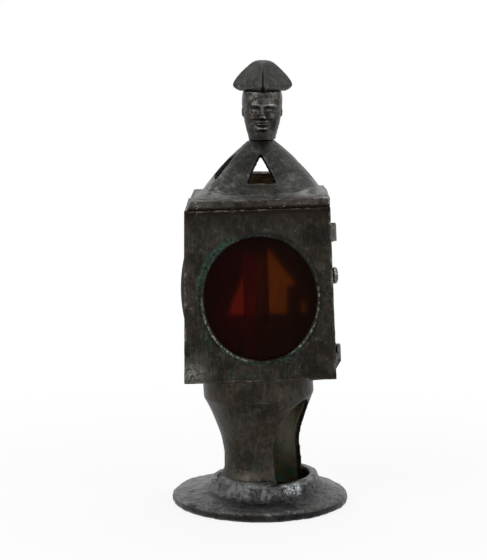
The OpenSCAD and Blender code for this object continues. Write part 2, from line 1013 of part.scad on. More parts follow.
// pintle bracket: one knuckle on a leaf, with a wedge below it
module lower_hinge_bracket() {
    low = lower_hinge_z - bracket_h;
    color([0.3, 0.26, 0.2])
        on_right()
            difference() {
                union() {
                    leaf(low, lower_hinge_z, -1, leaf_l);
                    knuckle(low, lower_hinge_z, 0.02);
                    web(low, lower_hinge_z, -1);
                    translate([0, door_front_y - knuckle_r, low - gusset_h])
                        rotate([90, 0, 0])
                            mirror([0, 0, 1])
                                linear_extrude(knuckle_r)
                                    polygon([
                                        [0, 0], [door_x + knuckle_r - 0.6, gusset_h],
                                        [0, gusset_h]
                                    ]);
                }
                frame_rivet_places()
                    rivet_hole();
            }
}

module hinge_pin(low, high) {
    translate([door_x, door_front_y, low])
        cylinder(r = pin_r, h = high - low, $fn = 32);
    translate([door_x, door_front_y, high])
        cylinder(r = knuckle_r - 0.4, h = pin_cap, $fn = 32);
}

module hinge_pins() {
    color([0.45, 0.38, 0.25])
        on_right() {
            hinge_pin(upper_hinge_z + 0.5, upper_top_z);
            hinge_pin(lower_hinge_z - bracket_h + 1, lower_hinge_z + 2 * fit + eye_h);
        }
}

module frame_rivets() {
    color([0.42, 0.36, 0.26])
        on_right()
            frame_rivet_places()
                rivet();
}

module hinge_eyes() {
    mid = upper_hinge_z + knuckle_h + fit;
    low = lower_hinge_z + fit;
    color([0.3, 0.26, 0.2])
        on_right()
            difference() {
                union() {
                    leaf(upper_hinge_z, upper_top_z, 1, leaf_l);
                    knuckle(mid, mid + knuckle_h, pin_fit);
                    web(mid, mid + knuckle_h, 1);
                    leaf(low, low + eye_h, 1, strap_l);
                    knuckle(low, low + eye_h, pin_fit);
                    web(low, low + eye_h, 1);
                }
                door_rivet_places()
                    rivet_hole();
            }
}

module door_rivets() {
    color([0.42, 0.36, 0.26])
        on_right()
            door_rivet_places()
                rivet();
}

module door_panel() {
    color(box_bronze)
        on_right()
            difference() {
                translate([-door_t, door_front_y + door_gap, door_low_z + door_gap])
                    cube([
                        door_t,
                        door_rear_y - door_front_y - 2 * door_gap,
                        door_high_z - door_low_z - 2 * door_gap
                    ]);
                translate([-door_t - 1, door_lens_y, door_lens_z])
                    rotate([0, 90, 0])
                        cylinder(r = door_hole_r, h = door_t + 2);
                translate([-door_t - 1, latch_y, latch_z])
                    rotate([0, 90, 0])
                        cylinder(r = spindle_r + pin_fit, h = door_t + 2);
                door_rivet_places()
                    rivet_hole();
            }
}

module at_latch() {
    on_right()
        translate([0, latch_y, latch_z])
            children();
}

tongue_x = -door_t - 2 * fit - tongue_t;
spindle_in = tongue_x - nut_t - 1;

module latch_knob() {
    neck_r = 4.2;
    steps = 10;
    collar_x = fit;
    low = 2.4;
    half = (knob_out - low) / 2;
    color([0.36, 0.35, 0.32])
        at_latch()
            rotate([0, 90, 0]) {
                translate([0, 0, spindle_in])
                    cylinder(r = spindle_r, h = collar_x - spindle_in + 1, $fn = 32);
                rotate_extrude($fn = 48)
                    polygon(concat(
                        [[0, collar_x], [neck_r, collar_x], [neck_r - 0.6, low]],
                        [for (i = [1:steps])
                            [knob_r * pow(sin(180 * i / (steps + 1)), 0.6),
                             low + half * (1 - cos(180 * i / (steps + 1)))]],
                        [[0, knob_out]]
                    ));
            }
}

module latch_tongue() {
    color(raw_bronze)
        at_latch()
            translate([tongue_x, 0, 0])
                rotate([90, 0, 90])
                    linear_extrude(tongue_t)
                        difference() {
                            union() {
                                translate([-tongue_w / 2, -tongue_l + 2])
                                    square([tongue_w, tongue_l - 2]);
                                translate([-tongue_w / 2 + 1.5, -tongue_l])
                                    square([tongue_w - 3, 3]);
                                circle(r = tongue_w / 2 + 1);
                            }
                            circle(r = spindle_r + 0.02);
                        }
}

module latch_nut() {
    color([0.45, 0.38, 0.25])
        at_latch()
            translate([tongue_x - nut_t, 0, 0])
                rotate([0, 90, 0])
                    difference() {
                        cylinder(r = nut_r, h = nut_t, $fn = 6);
                        translate([0, 0, -1])
                            cylinder(r = spindle_r + 0.02, h = nut_t + 2);
                    }
}

// --- candle ---------------------------------------------------------------------

module candle_cup() {
    cup_in = candle_r + fit;
    color(raw_bronze)
        on_box()
            translate([0, 0, cup_z]) {
                rotate_extrude()
                    polygon([
                        [0, 0], [pan_r, 0], [pan_r, pan_lip], [pan_r - 1.4, pan_lip],
                        [pan_r - 2, pan_t], [cup_in + cup_wall, pan_t],
                        [cup_in + cup_wall, pan_t + cup_h], [cup_in, pan_t + cup_h],
                        [cup_in, pan_t], [0, pan_t]
                    ]);
                translate([0, 0, -floor_t - nut_t - 1])
                    cylinder(r = stud_r, h = floor_t + nut_t + 2, $fn = 32);
            }
}

module cup_nut() {
    color([0.45, 0.38, 0.25])
        on_box()
            translate([0, 0, -nut_t])
                difference() {
                    cylinder(r = nut_r + 0.8, h = nut_t, $fn = 6);
                    translate([0, 0, -1])
                        cylinder(r = stud_r + 0.02, h = nut_t + 2);
                }
}

module candle() {
    round_w = 1.5;
    color([0.86, 0.82, 0.7])
        on_box()
            translate([0, 0, cup_z + pan_t])
                difference() {
                    rotate_extrude()
                        polygon([
                            [0, 0], [candle_r, 0], [candle_r, candle_h - round_w],
                            [candle_r - round_w, candle_h], [0, candle_h - 0.8]
                        ]);
                    translate([0, 0, candle_h - 6])
                        cylinder(r = wick_r + 0.02, h = 10, $fn = 16);
                }
}

module wick() {
    color([0.12, 0.1, 0.08])
        on_box()
            translate([0, 0, cup_z + pan_t + candle_h - 6])
                cylinder(r = wick_r, h = 5.2 + wick_h, $fn = 16);
}

foot();
stem();
box_floor();
front_wall();
rear_wall();
left_wall();
right_frame();
roof_plate();
roof_hood();
head();
hat();
red_pane();
amber_pane();
seam_strip();
pane_clips();
left_lens();
left_lens_clips();
upper_hinge_leaf();
lower_hinge_bracket();
hinge_pins();
frame_rivets();
candle_cup();
cup_nut();
candle();
wick();
door_panel();
door_lens();
door_lens_clips();
hinge_eyes();
door_rivets();
latch_knob();
latch_tongue();
latch_nut();
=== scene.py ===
import math

import bmesh
import bpy
import numpy
from mathutils import Matrix, Vector


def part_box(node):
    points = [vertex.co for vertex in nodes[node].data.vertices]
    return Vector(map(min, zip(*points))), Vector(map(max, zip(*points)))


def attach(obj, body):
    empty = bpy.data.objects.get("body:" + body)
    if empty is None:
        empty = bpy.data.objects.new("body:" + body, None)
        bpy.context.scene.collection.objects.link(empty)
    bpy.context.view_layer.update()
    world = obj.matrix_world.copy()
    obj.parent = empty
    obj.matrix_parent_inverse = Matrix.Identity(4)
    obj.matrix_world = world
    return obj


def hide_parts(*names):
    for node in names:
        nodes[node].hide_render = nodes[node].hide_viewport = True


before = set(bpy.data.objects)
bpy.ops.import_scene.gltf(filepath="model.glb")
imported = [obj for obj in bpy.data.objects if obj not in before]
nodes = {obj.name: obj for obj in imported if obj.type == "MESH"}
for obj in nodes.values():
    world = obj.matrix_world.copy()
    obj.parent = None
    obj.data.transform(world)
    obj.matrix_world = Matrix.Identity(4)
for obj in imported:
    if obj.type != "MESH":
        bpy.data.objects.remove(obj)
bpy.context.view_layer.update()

MM = 0.001
WHITE = (1, 1, 1, 1)

# --- places read from the frame ---------------------------------------------------

foot_low, foot_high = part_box("foot")
front_low, front_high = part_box("front_wall")
plate_low, plate_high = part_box("roof_plate")
hood_low, hood_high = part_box("roof_hood")
head_low, head_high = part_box("head")
hat_low, hat_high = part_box("hat")
red_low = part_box("red_pane")[0]
amber_low, amber_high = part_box("amber_pane")
candle_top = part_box("candle")[1].z

head_h = head_high.z - head_low.z
hat_middle = (hat_low.x + hat_high.x) / 2
head_axis = hat_middle - 0.3 * MM       # the head stands a little to the left of its hat

# The panes lap the front wall all round, so their box gives the window's oval.
PANE_LAP = 5 * MM
window_centre = Vector((
    (red_low.x + amber_high.x) / 2, front_low.y, (red_low.z + amber_high.z) / 2
))
window_half_w = (amber_high.x - red_low.x) / 2 - PANE_LAP
window_half_h = (amber_high.z - red_low.z) / 2 - PANE_LAP

# The stem and the box lean to the left, each from the middle of its own foot.
STEM_LEAN = math.radians(3.4)
BOX_LEAN = math.radians(1.9)
RING_TOP = 24.6 * MM
stem_foot = Vector((3.2 * MM, 0, RING_TOP))
stem_way = Vector((-math.sin(STEM_LEAN), 0, math.cos(STEM_LEAN)))
box_foot = Vector((-0.4 * MM, 0, 121.65 * MM))
box_way = Vector((-math.sin(BOX_LEAN), 0, math.cos(BOX_LEAN)))


# --- shader maths -----------------------------------------------------------------

class Value:
    """A socket in a node tree, so that its maths is written as Python."""

    def __init__(self, tree, socket):
        self.tree = tree
        self.socket = socket

    def __add__(self, other):
        return self.tree.maths("ADD", self, other)

    def __radd__(self, other):
        return self.tree.maths("ADD", other, self)

    def __sub__(self, other):
        return self.tree.maths("SUBTRACT", self, other)

    def __rsub__(self, other):
        return self.tree.maths("SUBTRACT", other, self)

    def __mul__(self, other):
        return self.tree.maths("MULTIPLY", self, other)

    def __rmul__(self, other):
        return self.tree.maths("MULTIPLY", other, self)

    def __truediv__(self, other):
        return self.tree.maths("DIVIDE", self, other)

    def __rtruediv__(self, other):
        return self.tree.maths("DIVIDE", other, self)

    def __pow__(self, other):
        return self.tree.maths("POWER", self, other)

    def __abs__(self):
        return self.tree.maths("ABSOLUTE", self, 0.0)


class Placed:
    """A node of a tree, with its outputs as Values."""

    def __init__(self, tree, node):
        self.tree = tree
        self.node = node

    def out(self, name=0):
        return Value(self.tree, self.node.outputs[name])


class Tree:
    """The node tree of a material or a world, built up node by node."""

    def __init__(self, owner):
        owner.use_nodes = True
        self.nodes = owner.node_tree.nodes
        self.links = owner.node_tree.links
        self.nodes.clear()

    def node(self, kind, settings, sockets):
        """Adds a node: its settings first, then the values or links of its sockets."""
        node = self.nodes.new(kind)
        for name, value in settings.items():
            setattr(node, name, value)
        for name, value in sockets.items():
            if isinstance(value, Value):
                self.links.new(value.socket, node.inputs[name])
            else:
                node.inputs[name].default_value = value
        return Placed(self, node)

    def maths(self, operation, first, second):
        return self.node("ShaderNodeMath", {"operation": operation}, {0: first, 1: second}).out()

    def most(self, first, *others):
        """The largest of some numbers."""
        for other in others:
            first = self.maths("MAXIMUM", first, other)
        return first

    def sees_white(self):
        """1 for the rays of the camera, of mirrors and of glass, 0 for light."""
        rays = self.node("ShaderNodeLightPath", {}, {})
        return self.most(rays.out("Is Camera Ray"), rays.out("Is Glossy Ray"),
                         rays.out("Is Transmission Ray"))


class Finish(Tree):
    """One material, with its patterns on Object coordinates in metres."""

    def __init__(self, name):
        self.material = bpy.data.materials.new(name)
        super().__init__(self.material)
        self.place = self.node("ShaderNodeTexCoord", {}, {}).out("Object")

    def axis(self, name):
        return self.node("ShaderNodeSeparateXYZ", {}, {0: self.place}).out(name)

    def noise(self, size, detail=4.0, rough=0.55, stretch=(1, 1, 1), shift=0.0, warp=0.0):
        """Cloudy noise whose lumps are about size metres across."""
        at = self.node(
            "ShaderNodeMapping", {"vector_type": "POINT"},
            {"Vector": self.place, "Location": (shift, shift, shift), "Scale": stretch},
        ).out()
        return self.node("ShaderNodeTexNoise", {}, {
            "Vector": at, "Scale": 1.0 / size, "Detail": detail, "Roughness": rough,
            "Distortion": warp,
        }).out("Fac")

    def cells(self, size):
        """The distance to the middle of cells that are about size metres across."""
        return self.node(
            "ShaderNodeTexVoronoi", {"feature": "F1"},
            {"Vector": self.place, "Scale": 1.0 / size},
        ).out("Distance")

    def lathe_marks(self, size, run):
        """Scratches round the foot's middle: size metres wide, run times as long."""
        x, y = self.axis("X"), self.axis("Y")
        along = self.maths("ARCTAN2", y, x) * (LATHE_R / run)
        at = self.node("ShaderNodeCombineXYZ", {}, {0: radius(x, y), 1: along}).out()
        return self.node("ShaderNodeTexNoise", {}, {
            "Vector": at, "Scale": 1.0 / size, "Detail": 5.0, "Roughness": 0.7,
        }).out("Fac")

    def marked(self, name):
        """A number that was written on the piece's points."""
        return self.node(
            "ShaderNodeAttribute", {"attribute_type": "GEOMETRY", "attribute_name": name}, {}
        ).out("Fac")

    def above(self, value, low, high):
        """0 below low, 1 above high, smooth between; low may be over high."""
        flipped = low > high
        start, end = (high, low) if flipped else (low, high)
        at_start, at_end = (1.0, 0.0) if flipped else (0.0, 1.0)
        return self.node(
            "ShaderNodeMapRange", {"interpolation_type": "SMOOTHSTEP", "clamp": True},
            {"Value": value, "From Min": start, "From Max": end, "To Min": at_start,
             "To Max": at_end},
        ).out("Result")

    def mix(self, share, first, second):
        """A colour between two colours, on the sockets that Mix keeps for colours."""
        first, second = (
            end if isinstance(end, Value) else (*end, 1.0) for end in (first, second)
        )
        return self.node(
            "ShaderNodeMix", {"data_type": "RGBA"}, {0: share, 6: first, 7: second}
        ).out(2)

    def bump(self, height, depth):
        return self.node(
            "ShaderNodeBump", {}, {"Height": height, "Distance": depth, "Strength": 1.0}
        ).out("Normal")

    def finish(self, colour, rough, metal, normal, **constants):
        """Ends the material; constants are the shader's other sockets, by their names."""
        sockets = {"Base Color": colour, "Roughness": rough, "Metallic": metal, "Normal": normal}
        sockets.update({name.replace("_", " "): value for name, value in constants.items()})
        skin = self.node("ShaderNodeBsdfPrincipled", {}, sockets)
        self.node("ShaderNodeOutputMaterial", {}, {"Surface": skin.out("BSDF")})
        return self.material


def radius(x, y):
    """The distance of x and y from 0."""
    return (x * x + y * y) ** 0.5


def toned(colour, *shares):
    """A colour with all its channels multiplied by one number, or each by its own."""
    if len(shares) == 1:
        shares = shares * len(colour)
    return tuple(channel * share for channel, share in zip(colour, shares))


# --- bronze finishes --------------------------------------------------------------

METAL = 0.92                # an oiled skin is a little less than bare metal
LATHE_R = 60 * MM           # the radius at which a lathe mark has its full length
LATHE_MARKS = (0.0011, 9.0) # a mark's width in metres, and its length over its width


def patina(name, *, dark, mid, film, bare, edge, rough, worn, filmy, green=None, inside=None,
           bright_at=None, pale_at=None, dark_at=None, spared_at=None, darkest_at=None,
           streaks=None, turned=False, deep=0.4 * MM, specked=0.5, contrast=1.0, grainy=0.2):
    """Dark, oiled bronze: cloudy browns, a pale film, rubbed edges, scratches and green.

    Colours: dark and mid are the ground, film the pale bloom on it and also the colour of
    painted light, edge that of worn edges, and bare that of metal rubbed through and also
    of painted highlights. green and the names that end in _at are functions of the finish
    that say where: greened; bright, which is rubbed bare on some pieces and a painted
    highlight on others; pale, which is film on some pieces and painted light on others;
    darkened, as painted shade on the box, the slab and the hat; spared from wear; and made
    nearly black, which is painted shade on the hood's vents and the hat's crease. inside
    gives the colour inside the lantern, which carries painted light. worn, filmy, specked
    and grainy are amounts, streaks is the stretch of brush marks, and deep the bump's
    depth in metres.
    """
    f = Finish(name)
    cloud = f.noise(0.036, detail=3.0, warp=0.6)
    patch = f.noise(0.013, detail=4.0, rough=0.6, shift=0.9, warp=0.4)
    fleck = f.noise(0.0045, detail=6.0, rough=0.7, shift=0.31)
    grain = f.noise(0.0014, detail=3.0, rough=0.65, shift=0.77)
    high = f.above(f.marked("worn"), 0.25, 0.75)
    if spared_at is not None:
        high = high * (1 - spared_at(f))
    low = f.above(f.marked("worn"), -0.15, -0.6)

    # the ground, with warmer clouds
    spread = 0.1 / contrast
    tone = f.above(cloud * 0.4 + patch * 0.35 + fleck * 0.25, 0.5 - spread, 0.5 + spread)
    colour = f.mix(tone, dark, mid)
    colour = f.mix(f.above(f.noise(0.02, shift=7.7), 0.5, 0.66) * 0.35, colour,
                   toned(mid, 1.25, 0.85, 0.7))

    # the pale film, in patches, as grain and as brush marks, and painted light where some pieces
    # put it
    pale_share = f.above(patch * 0.45 + fleck * 0.55, 0.5, 0.64) * filmy
    if pale_at is not None:
        pale_share = f.most(pale_share, pale_at(f))
    colour = f.mix(pale_share, colour, film)
    colour = f.mix(f.above(grain * 0.6 + fleck * 0.4, 0.5, 0.62) * grainy, colour, film)
    if streaks is not None:
        brushed = f.noise(0.0022, detail=4.0, rough=0.7, stretch=streaks, shift=1.7)
        colour = f.mix(f.above(brushed, 0.5, 0.7) * 0.4, colour, film)
        colour = f.mix(f.above(brushed, 0.46, 0.3) * 0.35, colour, dark)

    # dark pits, places and hollows; the places are painted shade on the box, the slab and the
    # hat
    colour = f.mix(f.above(grain * 0.5 + fleck * 0.5, 0.46, 0.34) * 0.5, colour,
                   toned(dark, 0.5))
    if dark_at is not None:
        colour = f.mix(dark_at(f), colour, toned(dark, 0.7, 0.5, 0.45))
    colour = f.mix(low * 0.65, colour, toned(dark, 0.35))

    # verdigris, which is less of a metal
    metal = METAL
    if green is not None:
        greened = green(f)
        shade = f.mix(f.above(fleck, 0.4, 0.62), (0.006, 0.022, 0.013), (0.018, 0.072, 0.042))
        colour = f.mix(greened, colour, shade)
        metal = METAL - 0.35 * greened

    # worn edges, nicks, specks, turned scratches and rubbed places, with painted highlights on
    # the box's rim and the foot's ring
    colour = f.mix(high * f.above(patch, 0.36, 0.56) * 0.7, colour, edge)
    nicked = f.above(f.noise(0.016, detail=7.0, rough=0.75, shift=2.3), 0.5, 0.66)
    specks = f.above(grain, 0.62, 0.72) * f.above(patch, 0.5, 0.62) * specked
    bright_share = f.most(high * nicked * worn, specks)
    if turned:
        rings = f.lathe_marks(*LATHE_MARKS)
        bright_share = f.most(bright_share, f.above(rings, 0.6, 0.74) * f.above(fleck, 0.46, 0.6) * 0.35)
    if bright_at is not None:
        bright_share = f.most(bright_share, bright_at(f) * f.above(fleck * 0.5 + grain * 0.5, 0.44, 0.62))
    colour = f.mix(bright_share, colour, bare)
    # nearly black: painted shade on the hood's vents and the hat's crease
    if darkest_at is not None:
        colour = f.mix(darkest_at(f), colour, toned(dark, 0.22))

    # the dull inside of the lantern, whose colours carry painted light
    if inside is not None:
        inner = f.marked("inner")
        colour = f.mix(inner, colour, inside(f))
        metal = metal * (1 - inner)

    height = grain * 0.3 + fleck * 0.5 + patch * 0.8
    if turned:
        height = height + rings * 0.6
    if streaks is not None:
        height = height + brushed * 0.4
    shine = rough + 0.16 * (fleck - 0.5) + 0.2 * (patch - 0.5) - bright_share * 0.12
    return f.finish(colour, shine, metal, f.bump(height, deep))


def spot(f, x, z, wide, tall):
    """1 at a place seen from the front, fading to 0 at an oval edge."""
    return f.above(radius((f.axis("X") - x) / wide, (f.axis("Z") - z) / tall), 1.0, 0.2)


def level(f):
    """Height, measured square to the leaning box."""
    return f.axis("Z") - f.axis("X") * math.tan(BOX_LEAN)


# --- where the box is green, pale and rubbed, and its painted shade and highlights ---

# Ways from the window's middle to parts of its rim: shares across and up.
UPPER_LEFT = (-0.85, 0.53)
LEFT = (-0.98, -0.2)
LOWER_LEFT = (-0.78, -0.62)
LOWER_RIGHT = (0.93, -0.36)


def on_front(f):
    """1 on the front wall's outside, 0 on the other walls."""
    return f.above(f.axis("Y"), front_low.y + 9 * MM, front_low.y + 5 * MM)


def round_window(f):
    """Shares across and up the window's oval, and the distance from its middle."""
    along = (f.axis("X") - window_centre.x) / window_half_w
    up = (f.axis("Z") - window_centre.z) / window_half_h
    return along, up, radius(along, up)


def rim_part(f, window, way, low, high):
    """1 on the part of the rim that lies this way from the window's middle."""
    along, up, ring = window
    return f.above((along * way[0] + up * way[1]) / ring, low, high)


def window_rim(f):
    """The window's raised rim, which isn't worn as other edges are."""
    ring = round_window(f)[2]
    return f.above(ring, 0.96, 0.98) * f.above(ring, 1.08, 1.06) * on_front(f) * 0.85


def rim_dark(f):
    """The rim is dark all round, broken here and there by green and by the painted highlight at
    its lower left and right.
    """
    along, _, ring = round_window(f)
    wide = 1.035 + 0.03 * f.above(along / ring, -0.5, -0.9)
    band = f.above(ring, 0.95, 0.985) * f.above(ring - wide, 0.012, -0.006)
    broken = f.above(f.noise(0.006, detail=4.0, rough=0.7, shift=6.6), 0.66, 0.5)
    return band * broken * (1 - rim_highlight_and_corner_wear(f)) * on_front(f) * 0.75


def window_green(f):
    """Verdigris just outside the window's rim, most at the upper left and below."""
    window = along, up, ring = round_window(f)
    ragged = ring + 0.05 * (f.noise(0.007, detail=5.0, rough=0.7, shift=4.1) - 0.5)
    side = rim_part(f, window, UPPER_LEFT, 0.72, 0.97)
    left = rim_part(f, window, LEFT, 0.78, 0.95) * 0.7
    below = f.above(up / ring, -0.55, -0.9) * 0.85
    band = f.above(ragged, 1.0, 1.02) * f.above(ragged - 0.075 * side, 1.065, 1.045)
    dots = f.above(f.noise(0.003, detail=5.0, rough=0.75, shift=4.9), 0.38, 0.56)
    rim = band * (0.22 + 0.78 * f.most(side, left, below)) * dots * on_front(f)
    low_part = f.above(up, -0.2, -1.15) * f.above(along, 1.1, 0.2)
    loose = f.above(f.noise(0.014, detail=6.0, rough=0.75, shift=5.3), 0.54, 0.7)
    return f.most(rim, loose * (0.12 + 0.5 * low_part))


def painted_shade_under_roof(f):
    """Painted shade: the walls are darker under the roof's edge, and the front towards its right
    side.
    """
    z = level(f)
    top = plate_low.z + 3 * MM
    shade = f.above(z, top - 26 * MM, top - 4 * MM) * 0.5
    band = f.above(z, top - 9 * MM, top - 4 * MM) * f.above(f.axis("Y"), -40 * MM, -46 * MM)
    right = f.above(f.axis("X"), 22 * MM, 50 * MM) * on_front(f) * 0.3
    return f.most(shade, right, band * 0.85)


def rim_highlight_and_corner_wear(f):
    """A painted highlight in dots on the rim at its lower left and right, and a worn bright
    patch at a lower corner.
    """
    window = round_window(f)
    ring = window[2]
    rim = f.above(ring, 0.985, 0.995) * f.above(ring, 1.028, 1.018)
    lower_left = rim_part(f, window, LOWER_LEFT, 0.66, 0.92)
    right = rim_part(f, window, LOWER_RIGHT, 0.66, 0.92) * 0.85
    dotted = f.above(f.noise(0.004, detail=4.0, rough=0.7, shift=1.1), 0.4, 0.52)
    rim_highlight = rim * f.most(f.most(lower_left, right) * dotted, 0.1)
    corner = spot(f, front_low.x + 7 * MM, front_low.z + 9 * MM, 16 * MM, 13 * MM)
    return f.most(rim_highlight, corner * 0.55) * on_front(f)


def box_film_and_edge_highlight(f):
    """Soft pale film at the box's lower corners, and a painted highlight along its side edges.
    """
    cloud = f.above(f.noise(0.011, detail=4.0, shift=1.1), 0.38, 0.6)
    low_left = spot(f, front_low.x + 9 * MM, front_low.z + 12 * MM, 26 * MM, 24 * MM)
    low_right = spot(f, front_high.x - 4 * MM, front_low.z + 10 * MM, 10 * MM, 16 * MM) * 0.7
    # a painted highlight along the side edges
    left = f.above(f.axis("X"), front_low.x + 9 * MM, front_low.x + 2 * MM) * 0.3
    right = f.above(f.axis("X") + f.axis("Z") * math.tan(BOX_LEAN) * 0.4,
                    front_high.x - 3 * MM, front_high.x + 3 * MM) * 0.5
    return f.most(low_left, low_right, left, right) * cloud * on_front(f)


# --- where the stem and foot are green, pale and rubbed, and their painted light ---

def low_green(f):
    """Green low on the casting, where damp stands, and here and there above."""
    low = f.above(f.axis("Z"), foot_high.z + 30 * MM, foot_high.z)
    damp = low * f.above(f.noise(0.012, detail=5.0, rough=0.7, shift=3.3), 0.5, 0.68) * 0.5
    stray = f.above(f.noise(0.01, detail=6.0, rough=0.75, shift=8.3), 0.64, 0.75) * 0.3
    return f.most(damp, stray)


def loose_green(f):
    """Faint green in a few clouds."""
    return f.above(f.noise(0.016, detail=6.0, rough=0.7, shift=6.1), 0.6, 0.74) * 0.3


def leg_pale(f):
    """The front leg's root turns to the foot's pale grey, with bright streaks."""
    up = f.above(f.axis("Z"), RING_TOP + 13 * MM, RING_TOP + 1 * MM)
    front = f.above(f.axis("Y"), -22 * MM, -36 * MM)
    return up * front * f.above(f.noise(0.005, detail=4.0, stretch=(1, 1, 0.5)), 0.36, 0.56)


def leg_rubs(f):
    """Upright bright streaks at the very root of the front leg."""
    up = f.above(f.axis("Z"), RING_TOP + 9 * MM, RING_TOP + 2 * MM)
    front = f.above(f.axis("Y"), -30 * MM, -40 * MM)
    return up * front * f.above(f.noise(0.006, detail=4.0, stretch=(1, 1, 0.4)), 0.5, 0.6) * 0.6


def ring_painted_highlight(f):
    """A painted highlight on the ring's outside, at the right of the front leg."""
    across = (f.axis("X") - 27 * MM) / (13 * MM)
    depth = (f.axis("Y") + 41 * MM) / (9 * MM)
    shine = f.above(radius(across, depth), 1.0, 0.5)
    return shine * f.above(f.axis("Z"), RING_TOP - 11 * MM, RING_TOP - 5 * MM)


def foot_painted_light_and_streaks(f):
    """Painted light makes the foot paler to the left, on the ring and on its edge's top, with
    pale streaks below the front leg.
    """
    x, y, z = f.axis("X"), f.axis("Y"), f.axis("Z")
    # painted light: to the left, on the ring's top and on the top of the outer edge
    left = f.above(x, 10 * MM, -50 * MM) * 0.55
    ring = f.above(z, RING_TOP - 2.5 * MM, RING_TOP - 0.8 * MM) * 0.8
    rim = f.above(radius(x, y), 60 * MM, 72 * MM) * f.above(f.marked("upward"), 0.3, 0.8) * 0.35
    cloud = f.above(f.noise(0.009, detail=5.0, rough=0.7, shift=3.1), 0.38, 0.58)
    upright = f.above(f.noise(0.004, detail=4.0, stretch=(1, 0.25, 0.25), shift=7.1), 0.46, 0.57)
    leg = f.above(z, RING_TOP - 15 * MM, RING_TOP - 6 * MM) * f.above(y, -34 * MM, -40 * MM)
    leg = leg * f.above(x, 13 * MM, 6 * MM) * f.above(x, -40 * MM, -30 * MM) * upright * 0.7
    return f.most(f.most(left, ring, rim) * cloud, leg)


def rim_brown(f):
    """The foot's edge is browner and darker than its top."""
    up = f.above(f.marked("upward"), 0.75, 0.2)
    return up * f.above(f.axis("Z"), 11 * MM, 7 * MM) * 0.85


# --- where the roof, hat and head are dark, pale and rubbed, and their painted light and shade ---

def slab_painted_shade(f):
    """Painted shade on the slab's lower edge, where it lies dark over the walls."""
    return f.above(level(f), plate_low.z + 5.5 * MM, plate_low.z + 3.5 * MM)


def slab_painted_light(f):
    """Painted light: the slab's top is paler than its dark edge, most at its ends."""
    up = f.above(f.marked("upward"), 0.3, 0.8)
    cloud = f.above(f.noise(0.01, detail=5.0, rough=0.65, shift=2.9), 0.38, 0.6)
    x = f.axis("X") - box_foot.x
    ends = 0.15 + 0.5 * f.above(x, -16 * MM, -44 * MM) + 0.2 * f.above(x, 40 * MM, 56 * MM)
    return up * cloud * ends


def hood_film_and_painted_light(f):
    """Pale film at the hood's foot, brushed up the slope in fans from its corners, with painted
    light that makes the left side and two front patches paler.
    """
    x, y, z = f.axis("X"), f.axis("Y"), f.axis("Z")
    low = f.above(z - 14 * MM * f.above(x, -10 * MM, -34 * MM), hood_low.z + 17 * MM,
                  hood_low.z + 6 * MM)
    low = low * (0.4 + 0.6 * f.above(z, hood_low.z + 2 * MM, hood_low.z + 6 * MM))
    corner = f.above(abs(x - box_foot.x), 20 * MM, 44 * MM)
    # painted light: the left side is paler
    side = 0.55 + 0.45 * f.above(x, 10 * MM, -10 * MM)
    angle = f.maths("ARCTAN2", z - hood_low.z, abs(x))
    fan_at = f.node("ShaderNodeCombineXYZ", {}, {0: angle * 0.05, 1: x * 0.12, 2: y * 0.3}).out()
    fan = f.node("ShaderNodeTexNoise", {}, {
        "Vector": fan_at, "Scale": 420.0, "Detail": 4.0, "Roughness": 0.6}).out("Fac")
    cloud = f.noise(0.014, detail=4.0, shift=4.7)
    brushed = f.above(fan * 0.5 + cloud * 0.5, 0.44, 0.54)
    foot = low * (0.12 + 0.88 * corner) * side
    # two patches of painted light on the front
    shoulder = spot(f, -33 * MM, hood_low.z + 14 * MM, 25 * MM, 20 * MM)
    beside = spot(f, 25 * MM, hood_low.z + 13 * MM, 14 * MM, 12 * MM) * 0.45
    patches = f.most(shoulder, beside) * f.above(y, 10 * MM, -10 * MM)
    return f.most(foot * brushed * 0.85, patches * (0.08 + 0.52 * brushed))


def hood_dark(f):
    """The hood is darker beside its front vent and up to its crown, and along its foot."""
    beside = spot(f, box_foot.x - 14 * MM, hood_low.z + 24 * MM, 44 * MM, 46 * MM)
    low_right = spot(f, box_foot.x + 22 * MM, hood_low.z + 20 * MM, 26 * MM, 34 * MM) * 0.6
    cloudy = f.above(f.noise(0.012, detail=4.0, shift=1.9), 0.34, 0.6)
    foot = f.above(f.axis("Z"), hood_low.z + 6 * MM, hood_low.z + 3 * MM)
    streaky = f.above(f.noise(0.004, detail=5.0, rough=0.7, stretch=(0.4, 1, 1), shift=5.9),
                      0.42, 0.56)
    return f.most(f.most(beside, low_right) * cloudy * 0.6, foot * streaky * 0.5)


def vent_painted_shade(f):
    """Painted shade makes the vents' cut faces dark."""
    cut = f.above(f.marked("upward"), 0.42, 0.2)
    return cut * f.above(f.axis("Z"), hood_low.z + 6 * MM, hood_low.z + 8 * MM) * 0.85


def hat_painted_shade(f):
    """Painted shade: the hat's right flat is darker next to the crease, and the brim's underside
    too.
    """
    across = f.axis("X") - hat_middle
    crease = f.above(across, -0.6 * MM, 0.2 * MM) * f.above(across, 9 * MM, 0.6 * MM) * 0.45
    brim = f.above(f.axis("Z"), hat_low.z + 6.2 * MM, hat_low.z + 4.6 * MM) * 0.3
    return f.most(crease, brim) * f.above(f.marked("upward"), -0.7, -0.2)


def hat_crease_painted_shade(f):
    """Painted shade in the crease itself, dark in front and strongest low down."""
    across = abs(f.axis("X") - hat_middle)
    line = f.above(across, 1.3 * MM, 0.6 * MM) * f.above(f.axis("Y"), -1 * MM, -6 * MM)
    low = f.above(f.axis("Z"), hat_high.z - 2 * MM, hat_low.z + 12 * MM)
    return line * (0.45 + 0.5 * low)


def brim_rubs(f):
    """Bright flecks along the brim."""
    edge = f.above(f.marked("upward"), 0.1, -0.15) * f.above(f.marked("upward"), -0.8, -0.5)
    return edge * f.above(f.noise(0.004, detail=4.0, rough=0.7, shift=3.9), 0.5, 0.62) * 0.7


